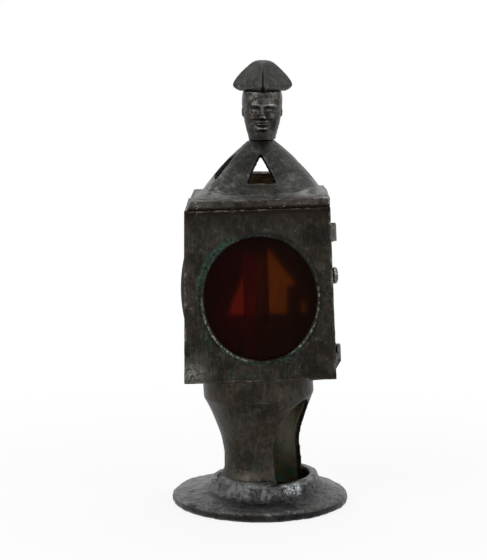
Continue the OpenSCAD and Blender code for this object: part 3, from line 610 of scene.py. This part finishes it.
def brow_pale(f):
    """The upper face is rubbed paler than the jaw."""
    up = f.above(f.axis("Z"), head_low.z + 0.42 * head_h, head_low.z + 0.75 * head_h)
    right = f.above(f.axis("X") - head_axis, 1 * MM, 9 * MM) * 0.7
    return f.most(up, right) * f.above(f.noise(0.005, detail=4.0, shift=2.2), 0.44, 0.58) * 0.75


# --- the insides, with painted light and shade ------------------------------------

def olive_inside_painted_light(f):
    """The inside of the stem and box: dry olive, lightened as painted light for the light that
    comes in, with green where it is damp.
    """
    cloud = f.noise(0.022, detail=6.0, rough=0.7, shift=9.1)
    fine = f.noise(0.004, detail=5.0, rough=0.7, shift=9.4)
    tone = f.above(cloud * 0.6 + fine * 0.4, 0.36, 0.66)
    colour = f.mix(tone, (0.06, 0.045, 0.012), (0.128, 0.099, 0.034))
    wet = f.above(f.axis("Z"), RING_TOP + 45 * MM, RING_TOP + 8 * MM)
    patches = f.above(f.noise(0.011, detail=5.0, rough=0.7, shift=2.7), 0.46, 0.56)
    return f.mix(wet * patches, colour, (0.03, 0.075, 0.05))


def roof_inside_painted_light_and_shade(f):
    """The inside of the roof: painted light, warm brown, at the back, and painted shade, nearly
    black, at the front.
    """
    cloud = f.noise(0.012, detail=4.0, shift=9.7)
    brown = f.mix(f.above(cloud, 0.4, 0.62), (0.5, 0.4, 0.2), (0.8, 0.66, 0.36))
    return f.mix(f.above(f.axis("Y"), 14 * MM, 2 * MM), brown, (0.014, 0.012, 0.008))


def raw(name):
    """Bronze left rough inside the lantern: olive, with green in its hollows."""
    f = Finish(name)
    cloud = f.noise(0.02, detail=4.0, warp=0.5)
    fleck = f.noise(0.003, detail=5.0, rough=0.7, shift=0.4)
    colour = f.mix(f.above(cloud, 0.4, 0.62), (0.032, 0.026, 0.013), (0.075, 0.06, 0.028))
    colour = f.mix(f.above(fleck, 0.58, 0.72) * 0.6, colour, (0.02, 0.055, 0.03))
    return f.finish(colour, 0.55 + 0.2 * (fleck - 0.5), 0.85, f.bump(fleck, 0.3 * MM))


def fittings(name, colour, bright):
    """Small turned pieces, rubbed by hands."""
    f = Finish(name)
    cloud = f.noise(0.003, detail=4.0)
    fine = f.noise(0.0009, detail=3.0, shift=0.6)
    sharp = f.node("ShaderNodeNewGeometry", {}, {}).out("Pointiness")
    rubbed = f.most(f.above(cloud, 0.45, 0.6), f.above(sharp, 0.51, 0.56))
    tone = f.mix(rubbed * 0.85, colour, bright)
    return f.finish(tone, 0.4 - 0.12 * rubbed + 0.2 * (fine - 0.5), 0.95,
                    f.bump(fine + cloud, 0.2 * MM))


# --- glass, putty, wax and wick ---------------------------------------------------

THIN_GLASS_IOR = 1.12       # a thin pane hardly bends what shows through it


def glass(name, tint, rough=0.3, clear=0.89, shine=0.5):
    """Hand-made coloured glass, with slow waves and a few seeds."""
    f = Finish(name)
    wave = f.noise(0.03, detail=1.0, warp=0.4)
    seeds = f.above(f.cells(0.011), 0.07, 0.03)
    streaky = f.noise(0.012, detail=3.0, stretch=(1, 1, 0.3), shift=1.3)
    colour = f.mix(f.above(streaky, 0.35, 0.65), toned(tint, 0.8), toned(tint, 1.15))
    return f.finish(colour, rough + 0.1 * (wave - 0.5), 0.0,
                    f.bump(wave + seeds * 0.04, 0.5 * MM), IOR=THIN_GLASS_IOR,
                    Transmission_Weight=clear, Specular_IOR_Level=shine)


def putty():
    """Dark, gritty putty in the panes' seam."""
    f = Finish("seam putty")
    grit = f.noise(0.001, detail=4.0, rough=0.7)
    cloud = f.noise(0.008, detail=3.0)
    colour = f.mix(f.above(grit * 0.6 + cloud * 0.4, 0.4, 0.62), (0.008, 0.0025, 0.002),
                   (0.026, 0.01, 0.01))
    return f.finish(colour, 0.7, 0.0, f.bump(grit, 0.2 * MM), Specular_IOR_Level=0.1)


def wax():
    """Cream wax, sooty at the top."""
    f = Finish("candle wax")
    cloud = f.noise(0.012, detail=3.0)
    soot = f.above(f.axis("Z"), candle_top - 4 * MM, candle_top)
    colour = f.mix(cloud, (0.72, 0.64, 0.46), (0.8, 0.75, 0.6))
    colour = f.mix(soot * f.above(cloud, 0.4, 0.6) * 0.35, colour, (0.3, 0.25, 0.17))
    return f.finish(colour, 0.45 + 0.2 * cloud, 0.0, f.bump(cloud, 0.4 * MM),
                    Subsurface_Weight=0.25, Subsurface_Scale=4 * MM)


def char():
    """The burnt cotton of the wick."""
    f = Finish("burnt wick")
    fibre = f.noise(0.0006, detail=2.0, stretch=(1, 1, 0.2))
    return f.finish(f.mix(fibre, (0.01, 0.009, 0.008), (0.09, 0.07, 0.05)), 0.9, 0.0,
                    f.bump(fibre, 0.2 * MM))


# --- every slot's finish ----------------------------------------------------------

box_skin = patina(
    "box bronze", dark=(0.0135, 0.0115, 0.0095), mid=(0.03, 0.0255, 0.02),
    film=(0.06, 0.056, 0.046), bare=(0.36, 0.37, 0.33), edge=(0.044, 0.034, 0.027),
    rough=0.46, worn=0.35, filmy=0.45, streaks=(1, 1, 0.16), contrast=1.35, specked=0.4,
    green=window_green, inside=olive_inside_painted_light, bright_at=rim_highlight_and_corner_wear, pale_at=box_film_and_edge_highlight,
    dark_at=painted_shade_under_roof, spared_at=window_rim, darkest_at=rim_dark)
stem_skin = patina(
    "stem bronze", dark=(0.0165, 0.014, 0.0112), mid=(0.039, 0.033, 0.026),
    film=(0.07, 0.061, 0.048), bare=(0.34, 0.33, 0.3), edge=(0.034, 0.027, 0.021),
    rough=0.44, worn=0.1, filmy=0.4, streaks=(1, 1, 0.12), contrast=1.1, specked=0.3,
    green=low_green, inside=olive_inside_painted_light, bright_at=leg_rubs, pale_at=leg_pale)
foot_skin = patina(
    "foot bronze", dark=(0.0125, 0.013, 0.0128), mid=(0.036, 0.037, 0.0365),
    film=(0.16, 0.164, 0.16), bare=(0.46, 0.49, 0.52), edge=(0.05, 0.047, 0.041),
    rough=0.33, worn=0.28, filmy=0.35, turned=True, deep=1.4 * MM, contrast=1.6,
    specked=0.9, grainy=0.55, green=loose_green, bright_at=ring_painted_highlight, pale_at=foot_painted_light_and_streaks,
    dark_at=rim_brown, spared_at=rim_brown)
hood_skin = patina(
    "roof bronze", dark=(0.0165, 0.017, 0.0155), mid=(0.039, 0.0405, 0.037),
    film=(0.185, 0.19, 0.18), bare=(0.4, 0.41, 0.39), edge=(0.04, 0.04, 0.037),
    rough=0.4, worn=0.25, filmy=0.2, contrast=1.4, specked=0.4, grainy=0.1,
    green=loose_green, inside=roof_inside_painted_light_and_shade, pale_at=hood_film_and_painted_light, dark_at=hood_dark,
    darkest_at=vent_painted_shade)
slab_skin = patina(
    "roof edge bronze", dark=(0.015, 0.0128, 0.0112), mid=(0.042, 0.037, 0.032),
    film=(0.085, 0.081, 0.075), bare=(0.42, 0.4, 0.36), edge=(0.045, 0.037, 0.03),
    rough=0.5, worn=0.35, filmy=0.35, contrast=1.3, specked=0.9, grainy=0.4,
    inside=roof_inside_painted_light_and_shade, pale_at=slab_painted_light, dark_at=slab_painted_shade, spared_at=slab_painted_shade)
head_skin = patina(
    "finial bronze", dark=(0.0175, 0.016, 0.0142), mid=(0.045, 0.041, 0.037),
    film=(0.1, 0.096, 0.09), bare=(0.5, 0.49, 0.46), edge=(0.15, 0.145, 0.135),
    rough=0.38, worn=0.55, filmy=0.4, contrast=1.2, green=loose_green, pale_at=brow_pale)
hat_skin = patina(
    "hat bronze", dark=(0.027, 0.028, 0.0255), mid=(0.056, 0.058, 0.053),
    film=(0.09, 0.095, 0.088), bare=(0.3, 0.29, 0.27), edge=(0.05, 0.052, 0.047),
    rough=0.42, worn=0.1, filmy=0.35, specked=0.3, green=loose_green, bright_at=brim_rubs,
    dark_at=hat_painted_shade, darkest_at=hat_crease_painted_shade)

SKINS = {
    "box_bronze": box_skin,
    "stem_bronze": stem_skin,
    "foot_bronze": foot_skin,
    "roof_bronze": hood_skin,
    "finial_bronze": head_skin,
    "raw_bronze": raw("raw bronze"),
    "hinge_bronze": fittings("hinge bronze", (0.016, 0.0145, 0.0145), (0.13, 0.125, 0.12)),
    "knob_bronze": fittings("knob bronze", (0.05, 0.048, 0.045), (0.26, 0.257, 0.25)),
    "red_glass": glass("red glass", (0.072, 0.0035, 0.0008), shine=0.2),
    "amber_glass": glass("amber glass", (0.053, 0.0095, 0.0005), shine=0.2),
    "violet_glass": glass("violet glass", (0.31, 0.14, 0.42), rough=0.2),
    "smoke_glass": glass("smoke glass", (0.011, 0.009, 0.008), rough=0.5, clear=0.1,
                         shine=0.1),
    "honey_glass": glass("honey glass", (0.25, 0.12, 0.03)),
    "wax": wax(),
    "wick": char(),
}


def dress(obj):
    """Puts this script's finish in each of a CAD node's slots."""
    for place in obj.material_slots:
        key = place.material.name.split(".")[0] if place.material else ""
        if key in SKINS:
            place.material = SKINS[key]


# --- tools for hand-worked castings -----------------------------------------------

def only(obj):
    """Selects one object and nothing else."""
    bpy.ops.object.select_all(action="DESELECT")
    obj.select_set(True)
    bpy.context.view_layer.objects.active = obj


def apply(obj, kind, **settings):
    """Applies one modifier to a piece."""
    only(obj)
    modifier = obj.modifiers.new(kind.lower(), kind)
    for name, value in settings.items():
        setattr(modifier, name, value)
    bpy.ops.object.modifier_apply(modifier=modifier.name)


def remesh(obj, size):
    """Gives a piece an even mesh, with edges about size millimetres long."""
    apply(obj, "REMESH", mode="VOXEL", voxel_size=size * MM, use_smooth_shade=True)


def soften(obj, rounds):
    """Rounds a piece's edges, more with each round."""
    apply(obj, "SMOOTH", factor=0.5, iterations=rounds)


def dent(obj, lumps, depth):
    """Pushes a piece's surface in and out by up to half of depth millimetres."""
    apply(obj, "DISPLACE", texture=lumps, texture_coords="LOCAL", strength=depth * MM,
          mid_level=0.5)


def clouds(name, size, detail):
    """A cloudy texture with lumps about size metres across."""
    texture = bpy.data.textures.new(name, "CLOUDS")
    texture.noise_scale = size
    texture.noise_depth = detail
    return texture


BROAD = clouds("broad dents", 0.028, 1)
CLOSE = clouds("file marks", 0.007, 2)
FINE = clouds("cast grain", 0.0025, 2)
MERGED = 0.01 * MM          # points nearer than this are one point


def taken_from(node, name):
    """A merged copy of a CAD node's mesh as a new piece."""
    obj = bpy.data.objects.new(name, nodes[node].data.copy())
    bpy.context.scene.collection.objects.link(obj)
    obj.data.materials.clear()
    only(obj)
    bpy.ops.object.mode_set(mode="EDIT")
    bpy.ops.mesh.select_all(action="SELECT")
    bpy.ops.mesh.remove_doubles(threshold=MERGED)
    bpy.ops.object.mode_set(mode="OBJECT")
    return obj


def hold_inside(obj, low, high):
    """Keeps a worked piece inside its CAD node's box."""
    for v in obj.data.vertices:
        for i in range(3):
            v.co[i] = min(max(v.co[i], low[i]), high[i])


def rows_of(items, name, width, kind=float):
    """One field of all the items of a mesh, as an array with a row for each item."""
    values = numpy.empty(len(items) * width, dtype=kind)
    items.foreach_get(name, values)
    return values.reshape(-1, width)


def round_about(points, sides):
    """The mean of each point's neighbours."""
    count = len(points)
    first, second = sides[:, 0], sides[:, 1]
    near = numpy.bincount(first, minlength=count) + numpy.bincount(second, minlength=count)
    mean = numpy.empty_like(points)
    for k in range(points.shape[1]):
        mean[:, k] = numpy.bincount(first, weights=points[second, k], minlength=count)
        mean[:, k] += numpy.bincount(second, weights=points[first, k], minlength=count)
    return mean / near[:, None]


def write_mark(obj, name, values):
    """Writes a number on each point, for marked() to read in a material."""
    mark = obj.data.attributes.new(name, "FLOAT", "POINT")
    mark.data.foreach_set("value", numpy.ascontiguousarray(values, dtype=numpy.float32))


WEAR_ROUNDS = 14            # how far the surface is smoothed to find what stands out of it
INNER_ROUNDS = 4            # how soft the border of the inside is


def mark_wear(obj, reach=0.35 * MM, inner=None):
    """Writes on each point how far it stands out, and whether it lies inside the lantern."""
    points = rows_of(obj.data.vertices, "co", 3)
    outward = rows_of(obj.data.vertices, "normal", 3)
    sides = rows_of(obj.data.edges, "vertices", 2, numpy.int64)
    smooth = points.copy()
    for _ in range(WEAR_ROUNDS):
        smooth = 0.4 * smooth + 0.6 * round_about(smooth, sides)
    proud = ((points - smooth) * outward).sum(axis=1) / reach
    write_mark(obj, "worn", numpy.clip(proud, -1, 1))
    write_mark(obj, "upward", outward[:, 2])
    if inner is not None:
        lies = numpy.clip(inner(points, outward), 0, 1)[:, None]
        for _ in range(INNER_ROUNDS):
            lies = 0.5 * lies + 0.5 * round_about(lies, sides)
        write_mark(obj, "inner", lies[:, 0])


def faces_axis(start, way, least=0.25, rise=2):
    """A test for points whose surface faces a leaning axis.

    least is how squarely it has to face it, and rise how sharp the border is.
    """
    def inner(points, outward):
        along = (points[:, 2] - start.z) / way.z
        axis = numpy.array(start)[None, :] + along[:, None] * numpy.array(way)[None, :]
        spoke = points - axis
        spoke[:, 2] = 0
        spoke /= numpy.linalg.norm(spoke, axis=1)[:, None] + 1e-9
        return (-(spoke * outward).sum(axis=1) - least) * rise
    return inner


def faces_down(points, outward):
    """A test for the underside of the hood."""
    return (-outward[:, 2] - 0.4) * 6


def finish_piece(obj, body, key, skin=None):
    """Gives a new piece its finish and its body."""
    obj.data.materials.clear()
    obj.data.materials.append(skin or SKINS[key])
    for polygon in obj.data.polygons:
        polygon.use_smooth = True
    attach(obj, body)


def casting(node, name, body, key, voxel, broad, close, fine=0.15, smoothed=2, shape=None,
            work=None, inner=None, skin=None, hold=None):
    """Puts a copy of a CAD node, with rounded edges, dents and file marks, in its place.

    Lengths are in millimetres. shape changes the copy before it is worked and work changes
    it after that; inner tests for points inside the lantern, and hold is the room that the
    piece stays in, where that isn't its node's own box.
    """
    obj = taken_from(node, name)
    if shape is not None:
        shape(obj)
    remesh(obj, voxel)
    soften(obj, smoothed)
    for lumps, depth in ((BROAD, broad), (CLOSE, close), (FINE, fine)):
        dent(obj, lumps, depth)
    if work is not None:
        work(obj)
    low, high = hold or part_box(node)
    hold_inside(obj, low, high)
    mark_wear(obj, inner=inner)
    finish_piece(obj, body, key, skin)
    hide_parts(node)


# --- the head ---------------------------------------------------------------------

FACE_R = 18.0 * MM          # the head's radius at the face
NOSE = 0.62                 # the nose stands out by this share of its heights below

# A calm, plain face as hills and hollows: height in millimetres; then place across and up
# and width across and up, as shares of the head's radius and height.
FACE = (
    (1.0, 0.34, 0.72, 0.36, 0.045),             # brows
    (0.5, 0.0, 0.72, 0.2, 0.05),
    (-3.0, 0.37, 0.645, 0.24, 0.05),            # eye sockets, eyes and their closed lids
    (2.3, 0.39, 0.632, 0.15, 0.03),
    (-0.8, 0.39, 0.634, 0.13, 0.006),
    (-0.6, 0.42, 0.585, 0.2, 0.012),
    (NOSE * 1.0, 0.0, 0.67, 0.1, 0.032),        # nose, from its bridge to its tip
    (NOSE * 1.9, 0.0, 0.62, 0.1, 0.032),
    (NOSE * 2.7, 0.0, 0.57, 0.11, 0.032),
    (NOSE * 3.6, 0.0, 0.52, 0.13, 0.032),
    (NOSE * 3.7, 0.0, 0.485, 0.15, 0.032),
    (1.5, 0.15, 0.472, 0.07, 0.02),             # nostrils, and the hollow under them
    (-0.9, 0.0, 0.435, 0.3, 0.014),
    (1.1, 0.5, 0.5, 0.2, 0.075),                # cheeks, and the hollows under them
    (-0.9, 0.52, 0.385, 0.16, 0.06),
    (1.1, 0.05, 0.39, 0.22, 0.016),             # upper lip, mouth, lower lip
    (-1.3, 0.0, 0.365, 0.25, 0.007),
    (1.2, 0.0, 0.342, 0.19, 0.017),
    (-1.1, 0.0, 0.306, 0.24, 0.016),            # hollow under the lip, chin
    (2.2, 0.0, 0.255, 0.22, 0.038),
)


def swell(across, up, at_across, at_up, wide, tall):
    """A smooth hill, 1 at its top, whose sides fall off over wide and tall."""
    return numpy.exp(-((across - at_across) / wide) ** 2 - ((up - at_up) / tall) ** 2)


def face_relief(across, up):
    """Height of the face in millimetres; shares of the head's radius and height."""
    return sum(height * swell(numpy.abs(across), up, *place) for height, *place in FACE)


def head_piece():
    """The face is worked on the tapered head: brow, eyes, nose, mouth, chin and flat ears."""
    obj = taken_from("head", "head_casting")
    remesh(obj, 0.5)
    soften(obj, 30)
    mesh = obj.data
    points = rows_of(mesh.vertices, "co", 3)
    spoke = points - numpy.array((head_axis, 0, 0))
    spoke[:, 2] = 0
    out = numpy.linalg.norm(spoke, axis=1)
    spoke /= out[:, None] + 1e-9
    up = (points[:, 2] - head_low.z) / head_h

    # the relief fades out towards the ears, and the head's hollow stays as it is
    outside = numpy.clip((out / FACE_R - 0.4) / 0.2, 0, 1)
    front = numpy.clip((-spoke[:, 1] - 0.1) / 0.4, 0, 1)
    relief = face_relief(spoke[:, 0] * out / FACE_R, up) * front

    # each ear is a flat oval with a groove round it
    behind = (spoke[:, 1] - 0.05) / 0.2
    ear = numpy.sqrt(behind ** 2 + ((up - 0.56) / 0.11) ** 2)
    relief -= 0.7 * numpy.exp(-(ear / 0.6) ** 2) + 0.5 * numpy.exp(-((ear - 1.25) / 0.2) ** 2)

    points += spoke * (relief * outside * MM)[:, None]
    mesh.vertices.foreach_set("co", points.reshape(-1))
    mesh.update()
    soften(obj, 2)
    dent(obj, CLOSE, 0.7)
    dent(obj, FINE, 0.35)
    mark_wear(obj, reach=0.3 * MM)
    finish_piece(obj, "body", "finial_bronze")
    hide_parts("head")


# --- seam, braze, crease and root -------------------------------------------------

STRIP_GAP = 0.3 * MM        # from the panes to the strip behind them
BEAD_HALF = 0.22 * MM       # half the putty bead's width
BEAD_SET = 0.15 * MM        # how far the bead lies behind the panes' fronts


def seam_pieces():
    """The strip behind the seam, a little clear of the panes, and the putty in the seam."""
    low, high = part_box("seam_strip")
    middle_y, middle_z = (low.y + high.y) / 2, (low.z + high.z) / 2
    pane_front = max(red_low.y, amber_low.y)
    strip = taken_from("seam_strip", "seam_strip_glass")
    putty_bead = taken_from("seam_strip", "seam_putty")
    centre = sum(v.co.x for v in strip.data.vertices) / len(strip.data.vertices)
    for v in strip.data.vertices:
        if v.co.y < middle_y:
            v.co.y += STRIP_GAP
    for v in putty_bead.data.vertices:
        line = centre - math.tan(BOX_LEAN) * (v.co.z - middle_z)
        v.co.x = line + math.copysign(BEAD_HALF, v.co.x - line)
        v.co.y = pane_front + BEAD_SET if v.co.y < middle_y else low.y
    apply(strip, "BEVEL", width=0.3 * MM, segments=3, limit_method="ANGLE")
    remesh(putty_bead, 0.25)
    dent(putty_bead, FINE, 0.2)
    finish_piece(strip, "body", "violet_glass")
    finish_piece(putty_bead, "body", "violet_glass", putty())
    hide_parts("seam_strip")


def band(obj, rows):
    """Adds to a piece a closed band; each row is one cross-section's points, in order."""
    mesh = bmesh.new()
    mesh.from_mesh(obj.data)
    rings = [[mesh.verts.new(point) for point in row] for row in rows]
    around = len(rows[0])
    for first, second in zip(rings, rings[1:]):
        for i in range(around):
            j = (i + 1) % around
            mesh.faces.new((first[i], first[j], second[j], second[i]))
    if rows[0][0] != rows[-1][0]:
        mesh.faces.new(list(reversed(rings[0])))
        mesh.faces.new(rings[-1])
    mesh.normal_update()
    mesh.to_mesh(obj.data)
    mesh.free()


# The braze's section: millimetres out from the hood's foot, and up.
BRAZE = [(-6.5, 6.6), (-3.2, 4.0), (0.2, 2.2), (3.2, 1.1), (5.6, 0.3), (5.6, -0.6), (-3, -0.6)]
BRAZE_STEP = 5              # degrees from one section to the next


def hood_braze(obj):
    """Metal run along the hood's foot, out to the slab's edge."""
    middle = Vector(((hood_low.x + hood_high.x) / 2, 0, hood_low.z))
    heights = [(v.co - middle).dot(box_way) for v in obj.data.vertices]
    lowest = min(heights)
    outer = {}
    for v, height in zip(obj.data.vertices, heights):
        if height < lowest + 0.3 * MM:
            way = v.co - middle
            turn = round(math.degrees(math.atan2(way.y, way.x)) / BRAZE_STEP)
            if turn not in outer or way.length > (outer[turn] - middle).length:
                outer[turn] = v.co.copy()
    rows = []
    for turn in sorted(outer):
        point = outer[turn]
        way = (point - middle) - box_way * (point - middle).dot(box_way)
        way.normalize()
        rows.append([point + (way * out + box_way * up) * MM for out, up in BRAZE])
    rows.append([point.copy() for point in rows[0]])
    band(obj, rows)


def hat_crease(obj):
    """A crease down the middle of the hat's front, 0.8 mm deep and about twice as wide."""
    for v in obj.data.vertices:
        across = (v.co.x - hat_middle) / MM
        if v.co.y < 0:
            v.co.y += 0.8 * MM * math.exp(-(across / 0.8) ** 2)
    obj.data.update()


# Sections of the front leg's root: millimetres out from the stem's axis, and up from the
# ring's top. It swells from the ring's own slope to its full form and back.
ROOT_SLOPE = [(36.6, 7.5), (39.4, 4.6), (46.8, -1.0), (50.3, -7), (53.2, -11.4), (58, -14.4),
              (66, -15.6)]
ROOT_FULL = [(37.6, 9.5), (41.6, 5.4), (47.6, 1.0), (52.0, -4.4), (56.6, -9.2), (62, -12.6),
             (69, -15.2)]
ROOT_BURIED = [(66, -17.6), (34.5, -17.6), (34, 7)]
ROOT_START = -162           # degrees round the stem's axis to where the root starts
ROOT_RUN = 80               # degrees from there to its end
ROOT_STEPS = 40


def front_root(obj):
    """The front leg runs out over the ring and down its slope."""
    lean = Matrix.Rotation(-STEM_LEAN, 4, "Y")
    rows = []
    for step in range(ROOT_STEPS + 1):
        angle = math.radians(ROOT_START + ROOT_RUN * step / ROOT_STEPS)
        swelled = math.sin(math.pi * step / ROOT_STEPS) ** 0.6
        section = [
            (a + swelled * (c - a), b + swelled * (d - b))
            for (a, b), (c, d) in zip(ROOT_SLOPE, ROOT_FULL)
        ] + ROOT_BURIED
        rows.append([
            stem_foot + (lean @ Vector((r * math.cos(angle), r * math.sin(angle), h))) * MM
            for r, h in section
        ])
    band(obj, rows)


# --- pieces -----------------------------------------------------------------------

for obj in nodes.values():
    dress(obj)

in_stem = faces_axis(stem_foot, stem_way, 0.8, 8)
in_box = faces_axis(box_foot, box_way)
# the braze runs out over the slab, so the hood has the whole roof's room
roof_room = (plate_low, Vector((plate_high.x, plate_high.y, hood_high.z)))

casting("foot", "foot_casting", "body", "foot_bronze", voxel=1.1, broad=1.4, close=0.9,
        fine=0.5, shape=front_root)
casting("stem", "stem_casting", "body", "stem_bronze", voxel=0.9, broad=1.0, close=0.3,
        smoothed=6, inner=in_stem)
casting("front_wall", "front_plate", "body", "box_bronze", voxel=0.8, broad=1.0, close=0.45,
        inner=in_box)
casting("rear_wall", "rear_plate", "body", "box_bronze", voxel=0.9, broad=1.0, close=0.4,
        inner=in_box)
casting("left_wall", "left_plate", "body", "box_bronze", voxel=0.9, broad=0.8, close=0.35,
        inner=in_box)
casting("right_frame", "right_plate", "body", "box_bronze", voxel=0.9, broad=0.2, close=0.15,
        smoothed=1, inner=in_box)
casting("door_panel", "door_plate", "door", "box_bronze", voxel=0.9, broad=0.2, close=0.15,
        smoothed=1, inner=in_box)
casting("roof_plate", "roof_slab", "body", "roof_bronze", voxel=0.8, broad=1.0, close=0.5,
        inner=in_box, skin=slab_skin)
casting("roof_hood", "hood_casting", "body", "roof_bronze", voxel=0.8, broad=1.2, close=0.45,
        inner=faces_down, shape=hood_braze, hold=roof_room)
casting("hat", "hat_casting", "body", "finial_bronze", voxel=0.5, broad=0.5, close=0.3,
        work=hat_crease, skin=hat_skin)
seam_pieces()
head_piece()


# --- floor, light and camera ------------------------------------------------------

def pale_floor():
    """A pale floor that keeps the shadow, and is white to the camera, mirrors and glass."""
    bpy.ops.object.select_all(action="DESELECT")
    bpy.ops.mesh.primitive_plane_add(size=12, location=(0, 0, foot_low.z))
    floor = bpy.context.active_object
    floor.name = "floor"
    f = Finish("pale floor")
    far_off = f.above(radius(f.axis("X"), f.axis("Y")), 0.12, 0.6)
    matt = f.node("ShaderNodeBsdfDiffuse", {}, {"Color": (0.86, 0.86, 0.86, 1)})
    white = f.node("ShaderNodeEmission", {}, {"Color": WHITE, "Strength": 1.0})
    both = f.node("ShaderNodeMixShader", {}, {
        0: f.sees_white() * (0.86 + 0.14 * far_off), 1: matt.out(), 2: white.out()})
    f.node("ShaderNodeOutputMaterial", {}, {"Surface": both.out()})
    floor.data.materials.append(f.material)


def white_world():
    """A white room that the camera, mirrors and glass see, with soft light from all round."""
    world = bpy.data.worlds.new("studio")
    bpy.context.scene.world = world
    w = Tree(world)
    room = w.node("ShaderNodeBackground", {}, {"Color": WHITE, "Strength": 0.45})
    white = w.node("ShaderNodeBackground", {}, {"Color": WHITE, "Strength": 1.0})
    both = w.node("ShaderNodeMixShader", {}, {0: w.sees_white(), 1: room.out(), 2: white.out()})
    w.node("ShaderNodeOutputWorld", {}, {"Surface": both.out()})


def aim(name, data, place, target):
    """Places a lamp or camera and turns it towards its target."""
    obj = bpy.data.objects.new(name, data)
    obj.location = place
    obj.rotation_euler = (Vector(target) - Vector(place)).to_track_quat("-Z", "Y").to_euler()
    bpy.context.scene.collection.objects.link(obj)
    return obj


def softbox(name, place, size, watts):
    """A square soft lamp, turned to the lantern's middle."""
    data = bpy.data.lights.new(name, "AREA")
    data.size = size
    data.energy = watts
    aim(name, data, place, target=(0, 0, 0.2))


def camera():
    """A long lens, a little above the lantern's middle and looking slightly down."""
    data = bpy.data.cameras.new("camera")
    data.sensor_width = 36
    data.lens = 117.5
    bpy.context.scene.camera = aim(
        "camera", data, (-0.0152, -1.632, 0.4361), target=(-0.0152, 0, 0.2037))


pale_floor()
white_world()
softbox("left softbox", (-1.3, -1.1, 1.3), size=0.9, watts=12)
softbox("right softbox", (1.4, -0.9, 0.9), size=0.6, watts=6)
softbox("top softbox", (0.1, 0.4, 1.8), size=1.0, watts=10)
camera()
bpy.context.scene.view_settings.view_transform = "Standard"
